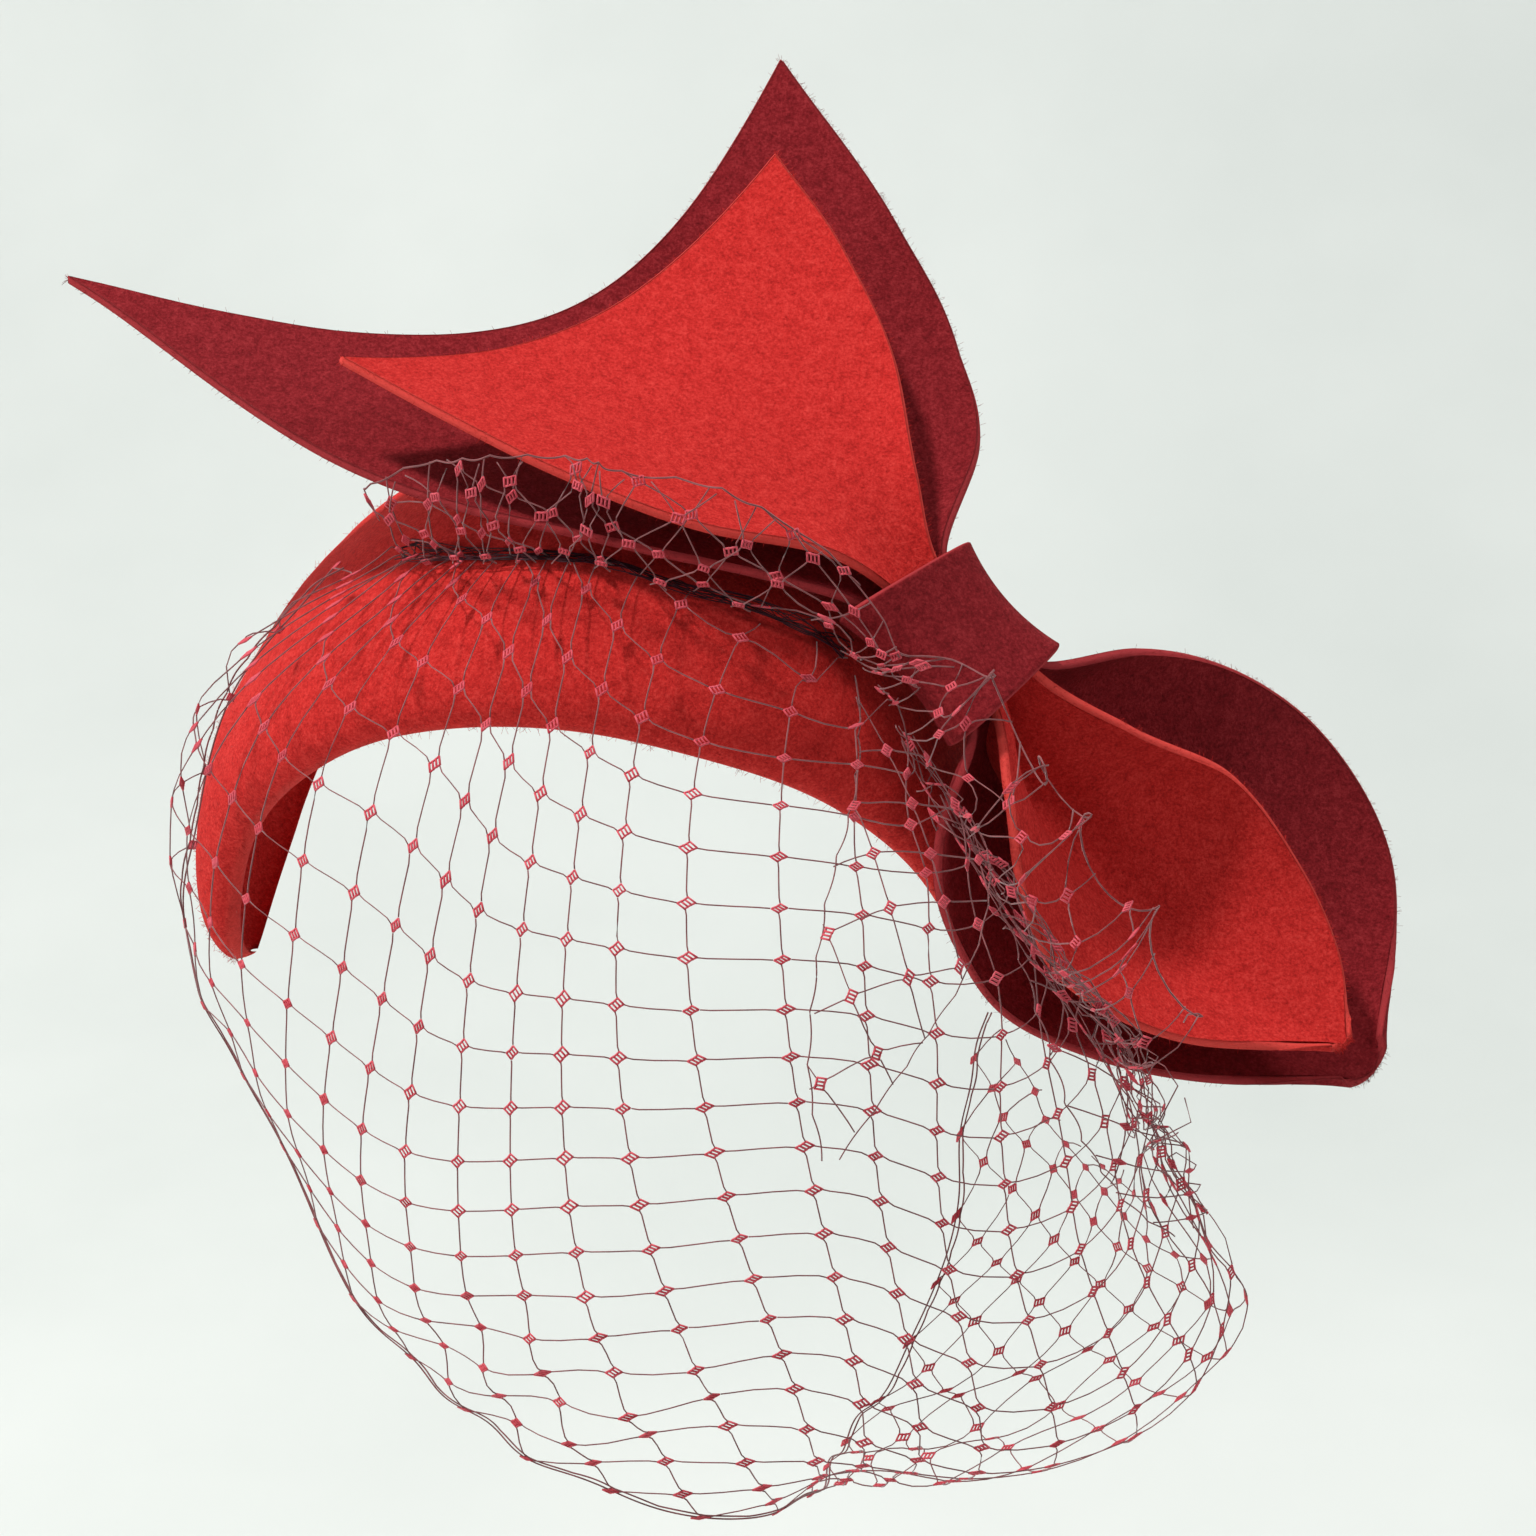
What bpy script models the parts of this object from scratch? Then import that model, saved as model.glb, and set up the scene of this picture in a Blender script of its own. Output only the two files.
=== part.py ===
"""Tilt hat of felt: a hollow crescent base, a two-layer felt bow pinched in a felt band, and a net veil.

Units are metres. +Z is up, -Y is the front (the wearer's face side), +X is the wearer's left.
The origin is the crown of the head, where the hat is carried.
"""
import math

import bmesh
import bpy
import numpy as np

# Named sizes.
HEAD_HALF_WIDTH = 0.077        # the head that the hat is shaped over, from its centre
HEAD_HALF_DEPTH = 0.097
HEAD_HALF_HEIGHT = 0.095

BASE_FELT = 0.0030             # felt of the base
BASE_LIFT = 0.0210             # how far the domed base stands off the head at its highest
BASE_STEPS_LONG = 34           # facets along the crescent
BASE_STEPS_WIDE = 12           # facets across it
BASE_RIM_STEPS = 3             # facets round its rounded rim
SEAT_GAP = 0.0006              # left between the base and the net that is sewn to it

BOW_ANGLE = 47                 # where the waist of the bow sits over the head: from the crown to +X
BOW_FORWARD = 18.5             # and from there to the front, both in degrees
BOW_STAND = 0.0117             # middle of the waist above the top of the base
BOW_ALONG = (-0.645, 0.146, 0.750)         # from the waist to the upper wing
BOW_OUT = (0.447, -0.724, 0.525)           # the way the bow faces
BOW_REACH = 0.200              # waist to the far wing tip
BOW_FELT = 0.0020              # felt of both layers of the bow
OUTER_STEPS_LONG = 40          # facets along the outer layer
INNER_STEPS_LONG = 34
BOW_STEPS_WIDE = 8             # facets across each layer

BAND_FELT = 0.0022             # felt band round the waist
BAND_LENGTH = 0.0300           # along the bow
BAND_SLANT = 0.0030            # how far its upper end is cut aslant
BAND_SHIFT = 0.0042            # how far it sits below the middle of the waist
BAND_HALF_WIDTH = 0.0138       # across the bow at the middle of the band
BAND_HALF_DEPTH = 0.0082       # from its middle to its face
BAND_FLARE = 1.16              # ends of the band against its middle
BAND_STEPS_ROUND = 28
BAND_STEPS_LONG = 6

VEIL_DROP = 0.200              # flat height of the net below the gather line
VEIL_CELLS_LONG = 12           # diamonds of the coarse net along the veil
VEIL_CELLS_DOWN = 5            # and down it
VEIL_STRAND = 0.0044           # width of a bar of the coarse net
VEIL_THICKNESS = 0.0011
GATHER_WIDTH = 0.0045          # solid strip where the net is drawn together
GATHER_THICKNESS = 0.0018
RUFFLE_HEIGHT = 0.024          # net standing above the gather line
RUFFLE_WAVE = 0.0014           # how far its flutes stand to each side

# Tables.
# Base: a row per section over the head, from the wearer's right to the wearer's left.
# angle from the crown toward +X; front and back rims in degrees from the crown line;
# lift as a share of BASE_LIFT; stand is the gap between head and rim as a share of BASE_LIFT.
BASE_COLUMNS = ("angle", "front", "back", "lift", "stand")
BASE_ROWS = (
    (-93, 10, -12, 0.50, 0.25),
    (-72, 17, -24, 0.68, 0.20),
    (-48, 30, -32, 0.64, 0.10),
    (-22, 40, -36, 0.68, 0.05),
    (5, 44, -37, 0.80, 0.05),
    (30, 42, -35, 0.85, 0.05),
    (55, 33, -31, 0.80, 0.05),
    (75, 22, -25, 0.55, 0.05),
    (97, 8, -12, 0.40, 0.05),
)
BASE_END = 12                  # degrees over which each end is rounded off

# Bow layers: a row per section, from the upper wing tip through the waist to the lower one.
# Both edges are given along, across and out from the waist; dip is how far the middle of the
# section lies behind its edges. All are shares of BOW_REACH.
BOW_COLUMNS = ("low_along", "low_across", "low_out", "high_along", "high_across", "high_out", "dip")
OUTER_ROWS = (
    (0.885, 0.330, -0.355, 0.575, -0.390, -0.165, 0.045),
    (0.480, 0.300, -0.150, 0.350, -0.330, -0.120, 0.040),
    (0.275, 0.205, -0.025, 0.215, -0.260, -0.080, 0.040),
    (0.160, 0.125, 0.000, 0.125, -0.170, -0.035, 0.034),
    (0.085, 0.076, 0.000, 0.070, -0.035, 0.000, 0.020),
    (0.000, 0.073, 0.000, 0.000, -0.032, 0.000, 0.020),
    (-0.078, 0.074, 0.000, -0.078, -0.033, 0.000, 0.020),
    (-0.130, 0.165, -0.020, -0.150, -0.170, -0.055, 0.050),
    (-0.255, 0.205, -0.095, -0.310, -0.285, -0.085, 0.060),
    (-0.380, 0.175, -0.125, -0.475, -0.280, -0.105, 0.055),
    (-0.520, 0.078, -0.118, -0.560, -0.210, -0.105, 0.032),
    (-0.620, -0.030, -0.090, -0.620, -0.095, -0.085, 0.006),
)
INNER_ROWS = (
    (0.615, 0.265, -0.130, 0.495, -0.265, -0.105, 0.045),
    (0.375, 0.220, -0.015, 0.362, -0.222, -0.065, 0.040),
    (0.250, 0.168, 0.030, 0.250, -0.160, -0.030, 0.032),
    (0.145, 0.080, 0.034, 0.150, -0.070, 0.004, 0.020),
    (0.070, 0.045, 0.013, 0.070, -0.015, 0.013, 0.009),
    (0.000, 0.045, 0.013, 0.000, -0.015, 0.013, 0.009),
    (-0.070, 0.045, 0.013, -0.070, -0.015, 0.013, 0.009),
    (-0.145, 0.103, 0.022, -0.170, -0.070, -0.015, 0.036),
    (-0.235, 0.155, -0.002, -0.290, -0.143, -0.045, 0.055),
    (-0.340, 0.165, -0.033, -0.425, -0.143, -0.060, 0.045),
    (-0.470, 0.095, -0.047, -0.525, -0.100, -0.052, 0.018),
    (-0.590, -0.032, -0.038, -0.590, -0.032, -0.038, 0.000),
)
# Veil: a row per section, from the wearer's right end of the gather line to the left end.
# place is the share of the veil's length. angle and share place the gather line on the base, and
# off is how far it stands off it, as a share of BASE_LIFT. edge is the free end of the section in
# shares of the head's half sizes, BASE_LIFT further out. way is the side to which the section
# bellies, in degrees from the front toward +X; upper, middle and lower are how far it does so at
# the named shares of its height, and raise is how far the lower one is lifted, in VEIL_DROP.
VEIL_COLUMNS = ("place", "angle", "share", "off", "edge_x", "edge_y", "edge_z",
                "way", "upper", "middle", "lower", "raise")
VEIL_ROWS = (
    (0.00, -21, 0.275, 0.00, -0.47, -0.33, 0.84, -40, 0.010, 0.015, 0.010, 0.000),
    (0.05, -19, 0.260, 0.00, -0.70, -0.37, 0.63, -41, 0.060, 0.080, 0.045, 0.020),
    (0.10, -16, 0.245, 0.00, -0.84, -0.34, 0.30, -42, 0.110, 0.125, 0.060, 0.040),
    (0.19, -10, 0.225, 0.00, -0.83, -0.38, 0.05, -30, 0.140, 0.140, 0.060, 0.030),
    (0.29, -2, 0.215, 0.00, -0.65, -0.50, -0.14, -10, 0.185, 0.205, 0.115, 0.020),
    (0.44, 7, 0.205, 0.00, -0.37, -0.77, -0.46, 2, 0.180, 0.215, 0.130, 0.040),
    (0.54, 17, 0.190, 0.00, 0.04, -1.04, -0.61, 6, 0.150, 0.150, 0.090, 0.040),
    (0.62, 28, 0.200, 0.00, 0.39, -1.01, -0.71, 18, 0.160, 0.150, 0.095, 0.030),
    (0.73, 40, 0.200, 0.00, 0.52, -0.48, -0.82, 34, 0.215, 0.275, 0.260, -0.080),
    (0.83, 51, 0.120, 0.32, 0.67, -0.14, -0.74, 52, 0.180, 0.275, 0.310, -0.120),
    (0.89, 61, 0.075, 0.80, 0.72, 0.05, -0.61, 58, 0.180, 0.265, 0.300, -0.130),
    (0.94, 73, 0.045, 1.46, 0.73, 0.14, -0.43, 50, 0.170, 0.225, 0.240, -0.130),
    (1.00, 89, 0.065, 1.85, 0.79, 0.16, -0.24, 35, 0.165, 0.175, 0.130, -0.130),
)
VEIL_SHARES = (0.0, 0.25, 0.55, 0.85, 1.0)    # gather, upper, middle, lower, edge

# Ruffle: its top from the gather line, and how far its middle puffs out to the front, as shares
# of RUFFLE_HEIGHT.
RUFFLE_COLUMNS = ("place", "x", "y", "z", "puff")
RUFFLE_ROWS = (
    (0.00, -0.15, -0.32, 0.60, 0.10),
    (0.10, -0.12, -0.38, 0.92, 0.15),
    (0.29, 0.15, -0.35, 0.92, 0.20),
    (0.44, 0.18, -0.40, 0.94, 0.20),
    (0.54, 0.28, -0.40, 1.00, 0.20),
    (0.62, 0.30, -0.50, 0.70, 0.15),
    (0.73, 0.45, -1.00, 0.25, 0.15),
    (0.83, 0.50, -0.90, 0.55, 0.35),
    (0.89, 0.50, -1.10, 0.55, 0.50),
    (0.94, 0.45, -1.00, 0.70, 0.60),
    (1.00, 0.30, -0.90, 0.40, 0.55),
)
OUTER_HOLLOW_END = 0.62        # how far the upper end is hollowed, as a share of its last section
INNER_HOLLOW_END = 0.28


# Curves and directions.
def spline(knots, values, at):
    """Smooth curve through rows of values at the given knots, with even slopes."""
    knots = np.asarray(knots, float)
    values = np.asarray(values, float)
    at = np.clip(np.asarray(at, float), knots[0], knots[-1])
    steps = np.diff(knots)
    slopes = np.diff(values, axis=0) / steps.reshape((-1,) + (1,) * (values.ndim - 1))
    tangents = np.empty_like(values)
    tangents[0] = slopes[0]
    tangents[-1] = slopes[-1]
    for i in range(1, len(knots) - 1):
        before, after = steps[i - 1], steps[i]
        tangents[i] = (after * slopes[i - 1] + before * slopes[i]) / (before + after)
    i = np.clip(np.searchsorted(knots, at, side="right") - 1, 0, len(knots) - 2)
    h = steps[i]
    t = (at - knots[i]) / h
    if values.ndim > 1:
        t = t[..., None]
        h = h[..., None]
    return ((1 + 2 * t) * (1 - t) ** 2 * values[i] + t * (1 - t) ** 2 * h * tangents[i]
            + t * t * (3 - 2 * t) * values[i + 1] + t * t * (t - 1) * h * tangents[i + 1])


def unit(v):
    v = np.asarray(v, float)
    return v / np.linalg.norm(v, axis=-1, keepdims=True)


def whole(count):
    """A count of facets or cells as a whole number, 2 at the least."""
    return max(2, int(round(count)))


def grid_normals(p):
    """Normals of a grid of points, from the changes along its rows and columns."""
    return unit(np.cross(np.gradient(p, axis=0), np.gradient(p, axis=1)))


# The base.
def base_point(angle, share, inner=0.0):
    """A point of the base's surface; share runs from the front rim to the back one.

    inner is how far inside the outer face the point lies, as a distance."""
    rows = np.array(BASE_ROWS, float)
    front, back, lift, stand = np.moveaxis(spline(rows[:, 0], rows[:, 1:], angle), -1, 0)
    first, last = rows[0, 0], rows[-1, 0]
    edge = np.minimum(angle - first, last - angle) / BASE_END
    close = np.sqrt(np.clip(1 - (1 - np.clip(edge, 0, 1)) ** 2, 0, 1))
    middle = (front + back) / 2
    front = middle + (front - middle) * close
    back = middle + (back - middle) * close
    trim = np.degrees(inner / HEAD_HALF_DEPTH)
    half = np.maximum((front - back) / 2 - trim, 0)
    forward = middle + (1 - 2 * share) * half
    skew = np.clip(share, 0, 1) ** 0.90
    dome = np.clip(1 - np.abs(2 * skew - 1) ** 2.2, 0, 1) ** 0.5
    rise = BASE_LIFT * stand + BASE_LIFT * (lift - stand) * dome * close ** 0.8 + BASE_FELT - inner
    return over_head(angle, forward, rise)


def base_rim(angle, side, turn):
    """A point of the rounded rim; turn goes from the outer face (0) to the inner one (1)."""
    rows = np.array(BASE_ROWS, float)
    front, back, lift, stand = np.moveaxis(spline(rows[:, 0], rows[:, 1:], angle), -1, 0)
    edge = np.minimum(angle - rows[0, 0], rows[-1, 0] - angle) / BASE_END
    close = np.sqrt(np.clip(1 - (1 - np.clip(edge, 0, 1)) ** 2, 0, 1))
    middle = (front + back) / 2
    half = (front - back) / 2 * close
    trim = np.minimum(np.degrees(BASE_FELT / HEAD_HALF_DEPTH), half)
    a = math.pi / 2 * turn
    forward = middle + side * (half - trim * (1 - math.cos(a)))
    rise = BASE_LIFT * stand + BASE_FELT * (1 - math.sin(a))
    return over_head(angle, forward, rise)


def over_head(angle, forward, rise):
    """The point that stands this far off the head."""
    a, b = np.radians(angle), np.radians(forward)
    half_sizes = np.array([HEAD_HALF_WIDTH, HEAD_HALF_DEPTH, HEAD_HALF_HEIGHT])
    way = np.stack([np.sin(a) * np.cos(b), -np.sin(b), np.cos(a) * np.cos(b)], -1)
    centre = np.array([0, 0, -HEAD_HALF_HEIGHT])
    on_head = centre + half_sizes * way
    outward = unit(way / half_sizes)
    return on_head + outward * rise[..., None]


# The bow.
def bow_centre():
    """The middle of the pinched waist."""
    rise = np.array(BASE_LIFT + BASE_FELT + BOW_STAND)
    return over_head(np.array(float(BOW_ANGLE)), np.array(float(BOW_FORWARD)), rise)


def bow_axes():
    along = unit(BOW_ALONG)
    out = np.array(BOW_OUT, float)
    out = unit(out - out @ along * along)
    return along, np.cross(out, along), out


def bow_sheet(rows, hollow, u, v):
    """A point of the middle of a bow layer; u along it from 0 to 1, v from low edge to high."""
    table = np.array(rows, float) * BOW_REACH
    middles = (table[:, 0:3] + table[:, 3:6]) / 2
    knots = np.concatenate([[0], np.cumsum(np.linalg.norm(np.diff(middles, axis=0), axis=1))])
    first = knots[1] * hollow * 4 * v * (1 - v)
    s = first + u * (knots[-1] - first)
    value = spline(knots, table, s)
    low, high, dip = value[..., 0:3], value[..., 3:6], value[..., 6]
    step = knots[-1] * 1e-4
    ahead = spline(knots, table, s + step)
    behind = spline(knots, table, s - step)
    forward = (ahead[..., 0:3] + ahead[..., 3:6]) - (behind[..., 0:3] + behind[..., 3:6])
    back = unit(np.cross(high - low, forward) - np.array([0, 0, 1e-9]))
    local = low + (high - low) * v[..., None] + back * (dip * 4 * v * (1 - v))[..., None]
    along, across, out = bow_axes()
    return (bow_centre() + local[..., 0:1] * along + local[..., 1:2] * across
            + local[..., 2:3] * out)


def band_point(turn, place, inner=0.0):
    """A point of the band; turn goes round it from 0 to 1, place along it from 0 to 1."""
    along, across, out = bow_axes()
    flare = 1 + (BAND_FLARE - 1) * (2 * place - 1) ** 2
    a = 2 * math.pi * turn
    round_x = np.sign(np.cos(a)) * np.abs(np.cos(a)) ** 0.8
    round_y = np.sign(np.sin(a)) * np.abs(np.sin(a)) ** 0.8
    side = BAND_SHIFT + (BAND_HALF_WIDTH * flare - inner) * round_x
    face = (BAND_HALF_DEPTH * flare - inner) * round_y
    level = BAND_LENGTH * (0.5 - place) + BAND_SLANT * (1 - place) * round_x
    return (bow_centre() + level[..., None] * along + side[..., None] * across
            + face[..., None] * out)


# The veil.
def heading(degrees):
    a = np.radians(degrees)
    return np.stack([np.sin(a), -np.cos(a), np.zeros_like(a)], -1)


def veil_section(u):
    """Five points of the section at each place along the veil."""
    rows = np.array(VEIL_ROWS, float)
    value = spline(rows[:, 0], rows[:, 1:], u)
    off = GATHER_THICKNESS / 2 + SEAT_GAP + value[..., 2] * BASE_LIFT
    gather = base_point(value[..., 0], value[..., 1], -off)
    half_sizes = np.array([HEAD_HALF_WIDTH, HEAD_HALF_DEPTH, HEAD_HALF_HEIGHT])
    edge = (np.array([0, 0, -HEAD_HALF_HEIGHT]) + half_sizes * value[..., 3:6]
            + unit(value[..., 3:6] / half_sizes) * BASE_LIFT)
    out = heading(value[..., 6])
    up = np.array([0, 0, 1.0])
    points = [gather]
    for column, share in ((7, VEIL_SHARES[1]), (8, VEIL_SHARES[2]), (9, VEIL_SHARES[3])):
        belly = out * value[..., column:column + 1] + up * value[..., 10:11] * share
        points.append(gather + (edge - gather) * share + belly * VEIL_DROP)
    points.append(edge)
    return np.stack(points, -2)


def veil_point(u, v):
    """A point of the veil; u along it, v from the gather line (0) down to the free edge (1)."""
    u, v = np.broadcast_arrays(np.asarray(u, float), np.asarray(v, float))
    section = veil_section(u.ravel())
    fine = np.linspace(0, 1, 41)
    found = np.empty((u.size, 3))
    for k in range(u.size):
        curve = spline(VEIL_SHARES, section[k], fine)
        run = np.concatenate([[0], np.cumsum(np.linalg.norm(np.diff(curve, axis=0), axis=1))])
        for axis in range(3):
            found[k, axis] = np.interp(v.ravel()[k] * run[-1], run, curve[:, axis])
    return found.reshape(u.shape + (3,))


def ruffle_point(u, v):
    """A point of the ruffle; v from the gather line (0) up to its free edge (1)."""
    rows = np.array(RUFFLE_ROWS, float)
    value = spline(rows[:, 0], rows[:, 1:], u) * RUFFLE_HEIGHT
    gather = veil_section(u)[..., 0, :]
    puff = value[..., 3] * 4 * v * (1 - v)
    return gather + value[..., 0:3] * v[..., None] + heading(0.0) * puff[..., None]


# Building the solids.
def add_object(name, points, faces, material):
    mesh = bpy.data.meshes.new(name)
    mesh.from_pydata([tuple(map(float, p)) for p in points], [], [tuple(f) for f in faces])
    mesh.validate()
    work = bmesh.new()
    work.from_mesh(mesh)
    bmesh.ops.triangulate(work, faces=work.faces[:])
    bmesh.ops.recalc_face_normals(work, faces=work.faces[:])
    if work.calc_volume(signed=True) < 0:
        bmesh.ops.reverse_faces(work, faces=work.faces[:])
    work.to_mesh(mesh)
    work.free()
    mesh.polygons.foreach_set("use_smooth", [True] * len(mesh.polygons))
    mesh.materials.append(material)
    item = bpy.data.objects.new(name, mesh)
    bpy.context.scene.collection.objects.link(item)
    return item


def add_material(name, colour, roughness):
    material = bpy.data.materials.new(name)
    material.use_nodes = True
    shader = material.node_tree.nodes["Principled BSDF"]
    shader.inputs["Base Color"].default_value = (*colour, 1.0)
    shader.inputs["Roughness"].default_value = roughness
    shader.inputs["Metallic"].default_value = 0.0
    return material


def thicken(points, normals, faces, half):
    """Closed solid from a sheet: both faces, and a wall along each free edge."""
    points, normals = np.asarray(points), np.asarray(normals)
    half = np.broadcast_to(half, len(points))[:, None]
    count = len(points)
    solid = np.concatenate([points + normals * half, points - normals * half])
    result = [tuple(f) for f in faces] + [tuple(i + count for i in reversed(f)) for f in faces]
    uses = {}
    for f in faces:
        for a, b in zip(f, tuple(f[1:]) + (f[0],)):
            uses[(a, b)] = uses.get((a, b), 0) + 1
    for a, b in list(uses):
        if (b, a) not in uses:
            result.append((b, a, a + count, b + count))
    return solid, result


def grid_faces(rows, columns):
    return [(i * columns + j, (i + 1) * columns + j, (i + 1) * columns + j + 1, i * columns + j + 1)
            for i in range(rows - 1) for j in range(columns - 1)]


def build_base(material):
    first, last = BASE_ROWS[0][0], BASE_ROWS[-1][0]
    wide, rim = whole(BASE_STEPS_WIDE), whole(BASE_RIM_STEPS)
    turn = np.linspace(0, math.pi, whole(BASE_STEPS_LONG) + 1)
    blend = 0.25 * (0.5 - 0.5 * np.cos(turn)) + 0.75 * turn / math.pi
    margin = 0.02 * BASE_END
    angles = first + margin + (last - first - 2 * margin) * blend
    shares = 0.5 - 0.5 * np.cos(np.linspace(0, math.pi, wide + 1))
    angle_grid, share_grid = np.meshgrid(angles, shares, indexing="ij")
    outer = base_point(angle_grid, share_grid)
    inner = base_point(angle_grid, share_grid, BASE_FELT)
    outer[:, 0] = base_rim(angles, 1, 0.0)
    outer[:, -1] = base_rim(angles, -1, 0.0)
    inner[:, 0] = base_rim(angles, 1, 1.0)
    inner[:, -1] = base_rim(angles, -1, 1.0)
    turns = [(k + 1) / rim for k in range(rim - 1)]
    back = [base_rim(angles, -1, t)[:, None] for t in turns]
    front = [base_rim(angles, 1, t)[:, None] for t in reversed(turns)]
    loops = np.concatenate([outer] + back + [inner[:, ::-1]] + front, axis=1)
    size = loops.shape[1]
    faces = []
    for i in range(len(angles) - 1):
        for j in range(size):
            k = (j + 1) % size
            faces.append((i * size + j, i * size + k, (i + 1) * size + k, (i + 1) * size + j))
    rim = rim - 1
    for start in (0, (len(angles) - 1) * size):
        for j in range(wide):
            low = start + 2 * wide + 1 + rim - j
            faces.append((start + j, start + j + 1, low - 1, low))
        faces.append(tuple(start + j for j in range(wide, wide + rim + 2)))
        faces.append(tuple(start + j for j in range(2 * wide + rim + 1, size)) + (start,))
    return add_object("hat_base", loops.reshape(-1, 3), faces, material)


def build_layer(name, rows, hollow, steps, material):
    long, wide = whole(steps), whole(BOW_STEPS_WIDE)
    u, v = np.meshgrid(np.linspace(0, 1, long + 1), np.linspace(0, 1, wide + 1), indexing="ij")
    tip = rows[-1]
    pointed = tip[0:3] == tip[3:6]
    if pointed:
        u = u * 0.985
    points = bow_sheet(rows, hollow, u, v)
    normals = grid_normals(points)
    solid, faces = thicken(points.reshape(-1, 3), normals.reshape(-1, 3),
                           grid_faces(long + 1, wide + 1), BOW_FELT / 2)
    return add_object(name, solid, faces, material)


def build_band(material):
    steps = whole(BAND_STEPS_ROUND)
    turns = np.arange(steps) / steps
    places = np.linspace(0, 1, whole(BAND_STEPS_LONG) + 1)
    turn_grid, place_grid = np.meshgrid(turns, places, indexing="ij")
    outer = band_point(turn_grid, place_grid)
    inner = band_point(turn_grid, place_grid, BAND_FELT)
    loops = np.concatenate([outer, inner[:, ::-1]], axis=1)
    size = loops.shape[1]
    faces = []
    for i in range(steps):
        n = (i + 1) % steps
        for j in range(size):
            k = (j + 1) % size
            faces.append((i * size + j, i * size + k, n * size + k, n * size + j))
    return add_object("bow_band", loops.reshape(-1, 3), faces, material)


def build_veil(material):
    """One sheet: ruffle, gathered strip, and a coarse net of diamonds."""
    columns, rows = 2 * whole(VEIL_CELLS_LONG), 2 * whole(VEIL_CELLS_DOWN)
    places, faces = [], []

    def add(u, v):
        places.append((u, v))
        return len(places) - 1

    node = {}
    for i in range(columns + 1):
        for j in range(rows + 1):
            if (i + j) % 2 == 0 or j == 0:
                node[i, j] = add(i / columns, j / rows)

    def corner(i, j):
        return np.array([i / columns, j / rows])

    for i in range(columns + 1):
        for j in range(rows + 1):
            if (i + j) % 2 == 0:
                continue
            around = [(i - 1, j), (i, j + 1), (i + 1, j), (i, j - 1)]
            around = [c for c in around if 0 <= c[0] <= columns and 0 <= c[1] <= rows]
            if j == 0:
                faces.append((node[i - 1, 0], node[i, 1], node[i + 1, 0], node[i, 0]))
                continue
            flat = np.array([corner(*c) for c in around])
            real = veil_point(flat[:, 0], flat[:, 1])
            sides = np.roll(real, -1, axis=0) - real
            lengths = np.linalg.norm(sides, axis=1)
            crossed = sum(np.linalg.norm(np.cross(sides[k], -sides[k - 1])) for k in range(len(real)))
            area = crossed / 4 if len(real) == 4 else crossed / 6
            across = 2 * area / (lengths.sum() / 2)
            if len(real) == 3:
                middle = (flat * np.roll(lengths, -1)[:, None]).sum(0) / lengths.sum()
                keep = 1 - 1.2 * VEIL_STRAND / across
            else:
                middle = flat.mean(0)
                keep = 1 - VEIL_STRAND / across
            around = [node[c] for c in around]
            if keep < 0.3:
                faces.append(tuple(around))
                continue
            hole = [add(*(middle + (f - middle) * keep)) for f in flat]
            for k in range(len(hole)):
                n = (k + 1) % len(hole)
                faces.append((around[k], around[n], hole[n], hole[k]))

    flat = np.array(places)
    step = 1e-3
    points = veil_point(flat[:, 0], flat[:, 1])
    along = (veil_point(np.minimum(flat[:, 0] + step, 1), flat[:, 1])
             - veil_point(np.maximum(flat[:, 0] - step, 0), flat[:, 1]))
    down = (veil_point(flat[:, 0], np.minimum(flat[:, 1] + step, 1))
            - veil_point(flat[:, 0], np.maximum(flat[:, 1] - step, 0)))
    normals = unit(np.cross(along, down))
    half = np.where(flat[:, 1] == 0, GATHER_THICKNESS, VEIL_THICKNESS) / 2

    levels = [GATHER_WIDTH / RUFFLE_HEIGHT, 0.5, 1.0]
    u = np.arange(columns + 1) / columns
    below = [node[i, 0] for i in range(columns + 1)]
    extra, extra_normals, extra_half = [], [], []
    wave = np.where(np.arange(columns + 1) % 2 == 0, 1.0, -1.0)
    for level in levels:
        v = np.full(columns + 1, level)
        p = ruffle_point(u, v)
        q = ruffle_point(u, v - 0.05)
        n = unit(np.cross(np.gradient(p, axis=0), q - p))
        p = p + n * (wave * RUFFLE_WAVE * level ** 2)[:, None]
        start = len(points) + sum(len(e) for e in extra)
        extra.append(p)
        extra_normals.append(n)
        extra_half.append(np.full(columns + 1, (GATHER_THICKNESS if level < 0.3 else VEIL_THICKNESS) / 2))
        above = [start + i for i in range(columns + 1)]
        faces += [(below[i], below[i + 1], above[i + 1], above[i]) for i in range(columns)]
        below = above
    points = np.concatenate([points] + extra)
    normals = np.concatenate([normals] + extra_normals)
    half = np.concatenate([half] + extra_half)
    solid, faces = thicken(points, normals, faces, half)
    return add_object("veil", solid, faces, material)


def main():
    for item in list(bpy.data.objects):
        bpy.data.objects.remove(item, do_unlink=True)
    bright = add_material("felt_bright_red", (0.62, 0.035, 0.022), 0.95)
    dark = add_material("felt_dark_red", (0.26, 0.012, 0.020), 0.95)
    net = add_material("net_dusty_red", (0.42, 0.085, 0.105), 0.70)
    build_base(bright)
    build_layer("bow_outer", OUTER_ROWS, OUTER_HOLLOW_END, OUTER_STEPS_LONG, dark)
    build_layer("bow_inner", INNER_ROWS, INNER_HOLLOW_END, INNER_STEPS_LONG, bright)
    build_band(dark)
    build_veil(net)


main()
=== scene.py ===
import math

import bpy
import numpy as np
from mathutils import Matrix, Vector, noise


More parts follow.
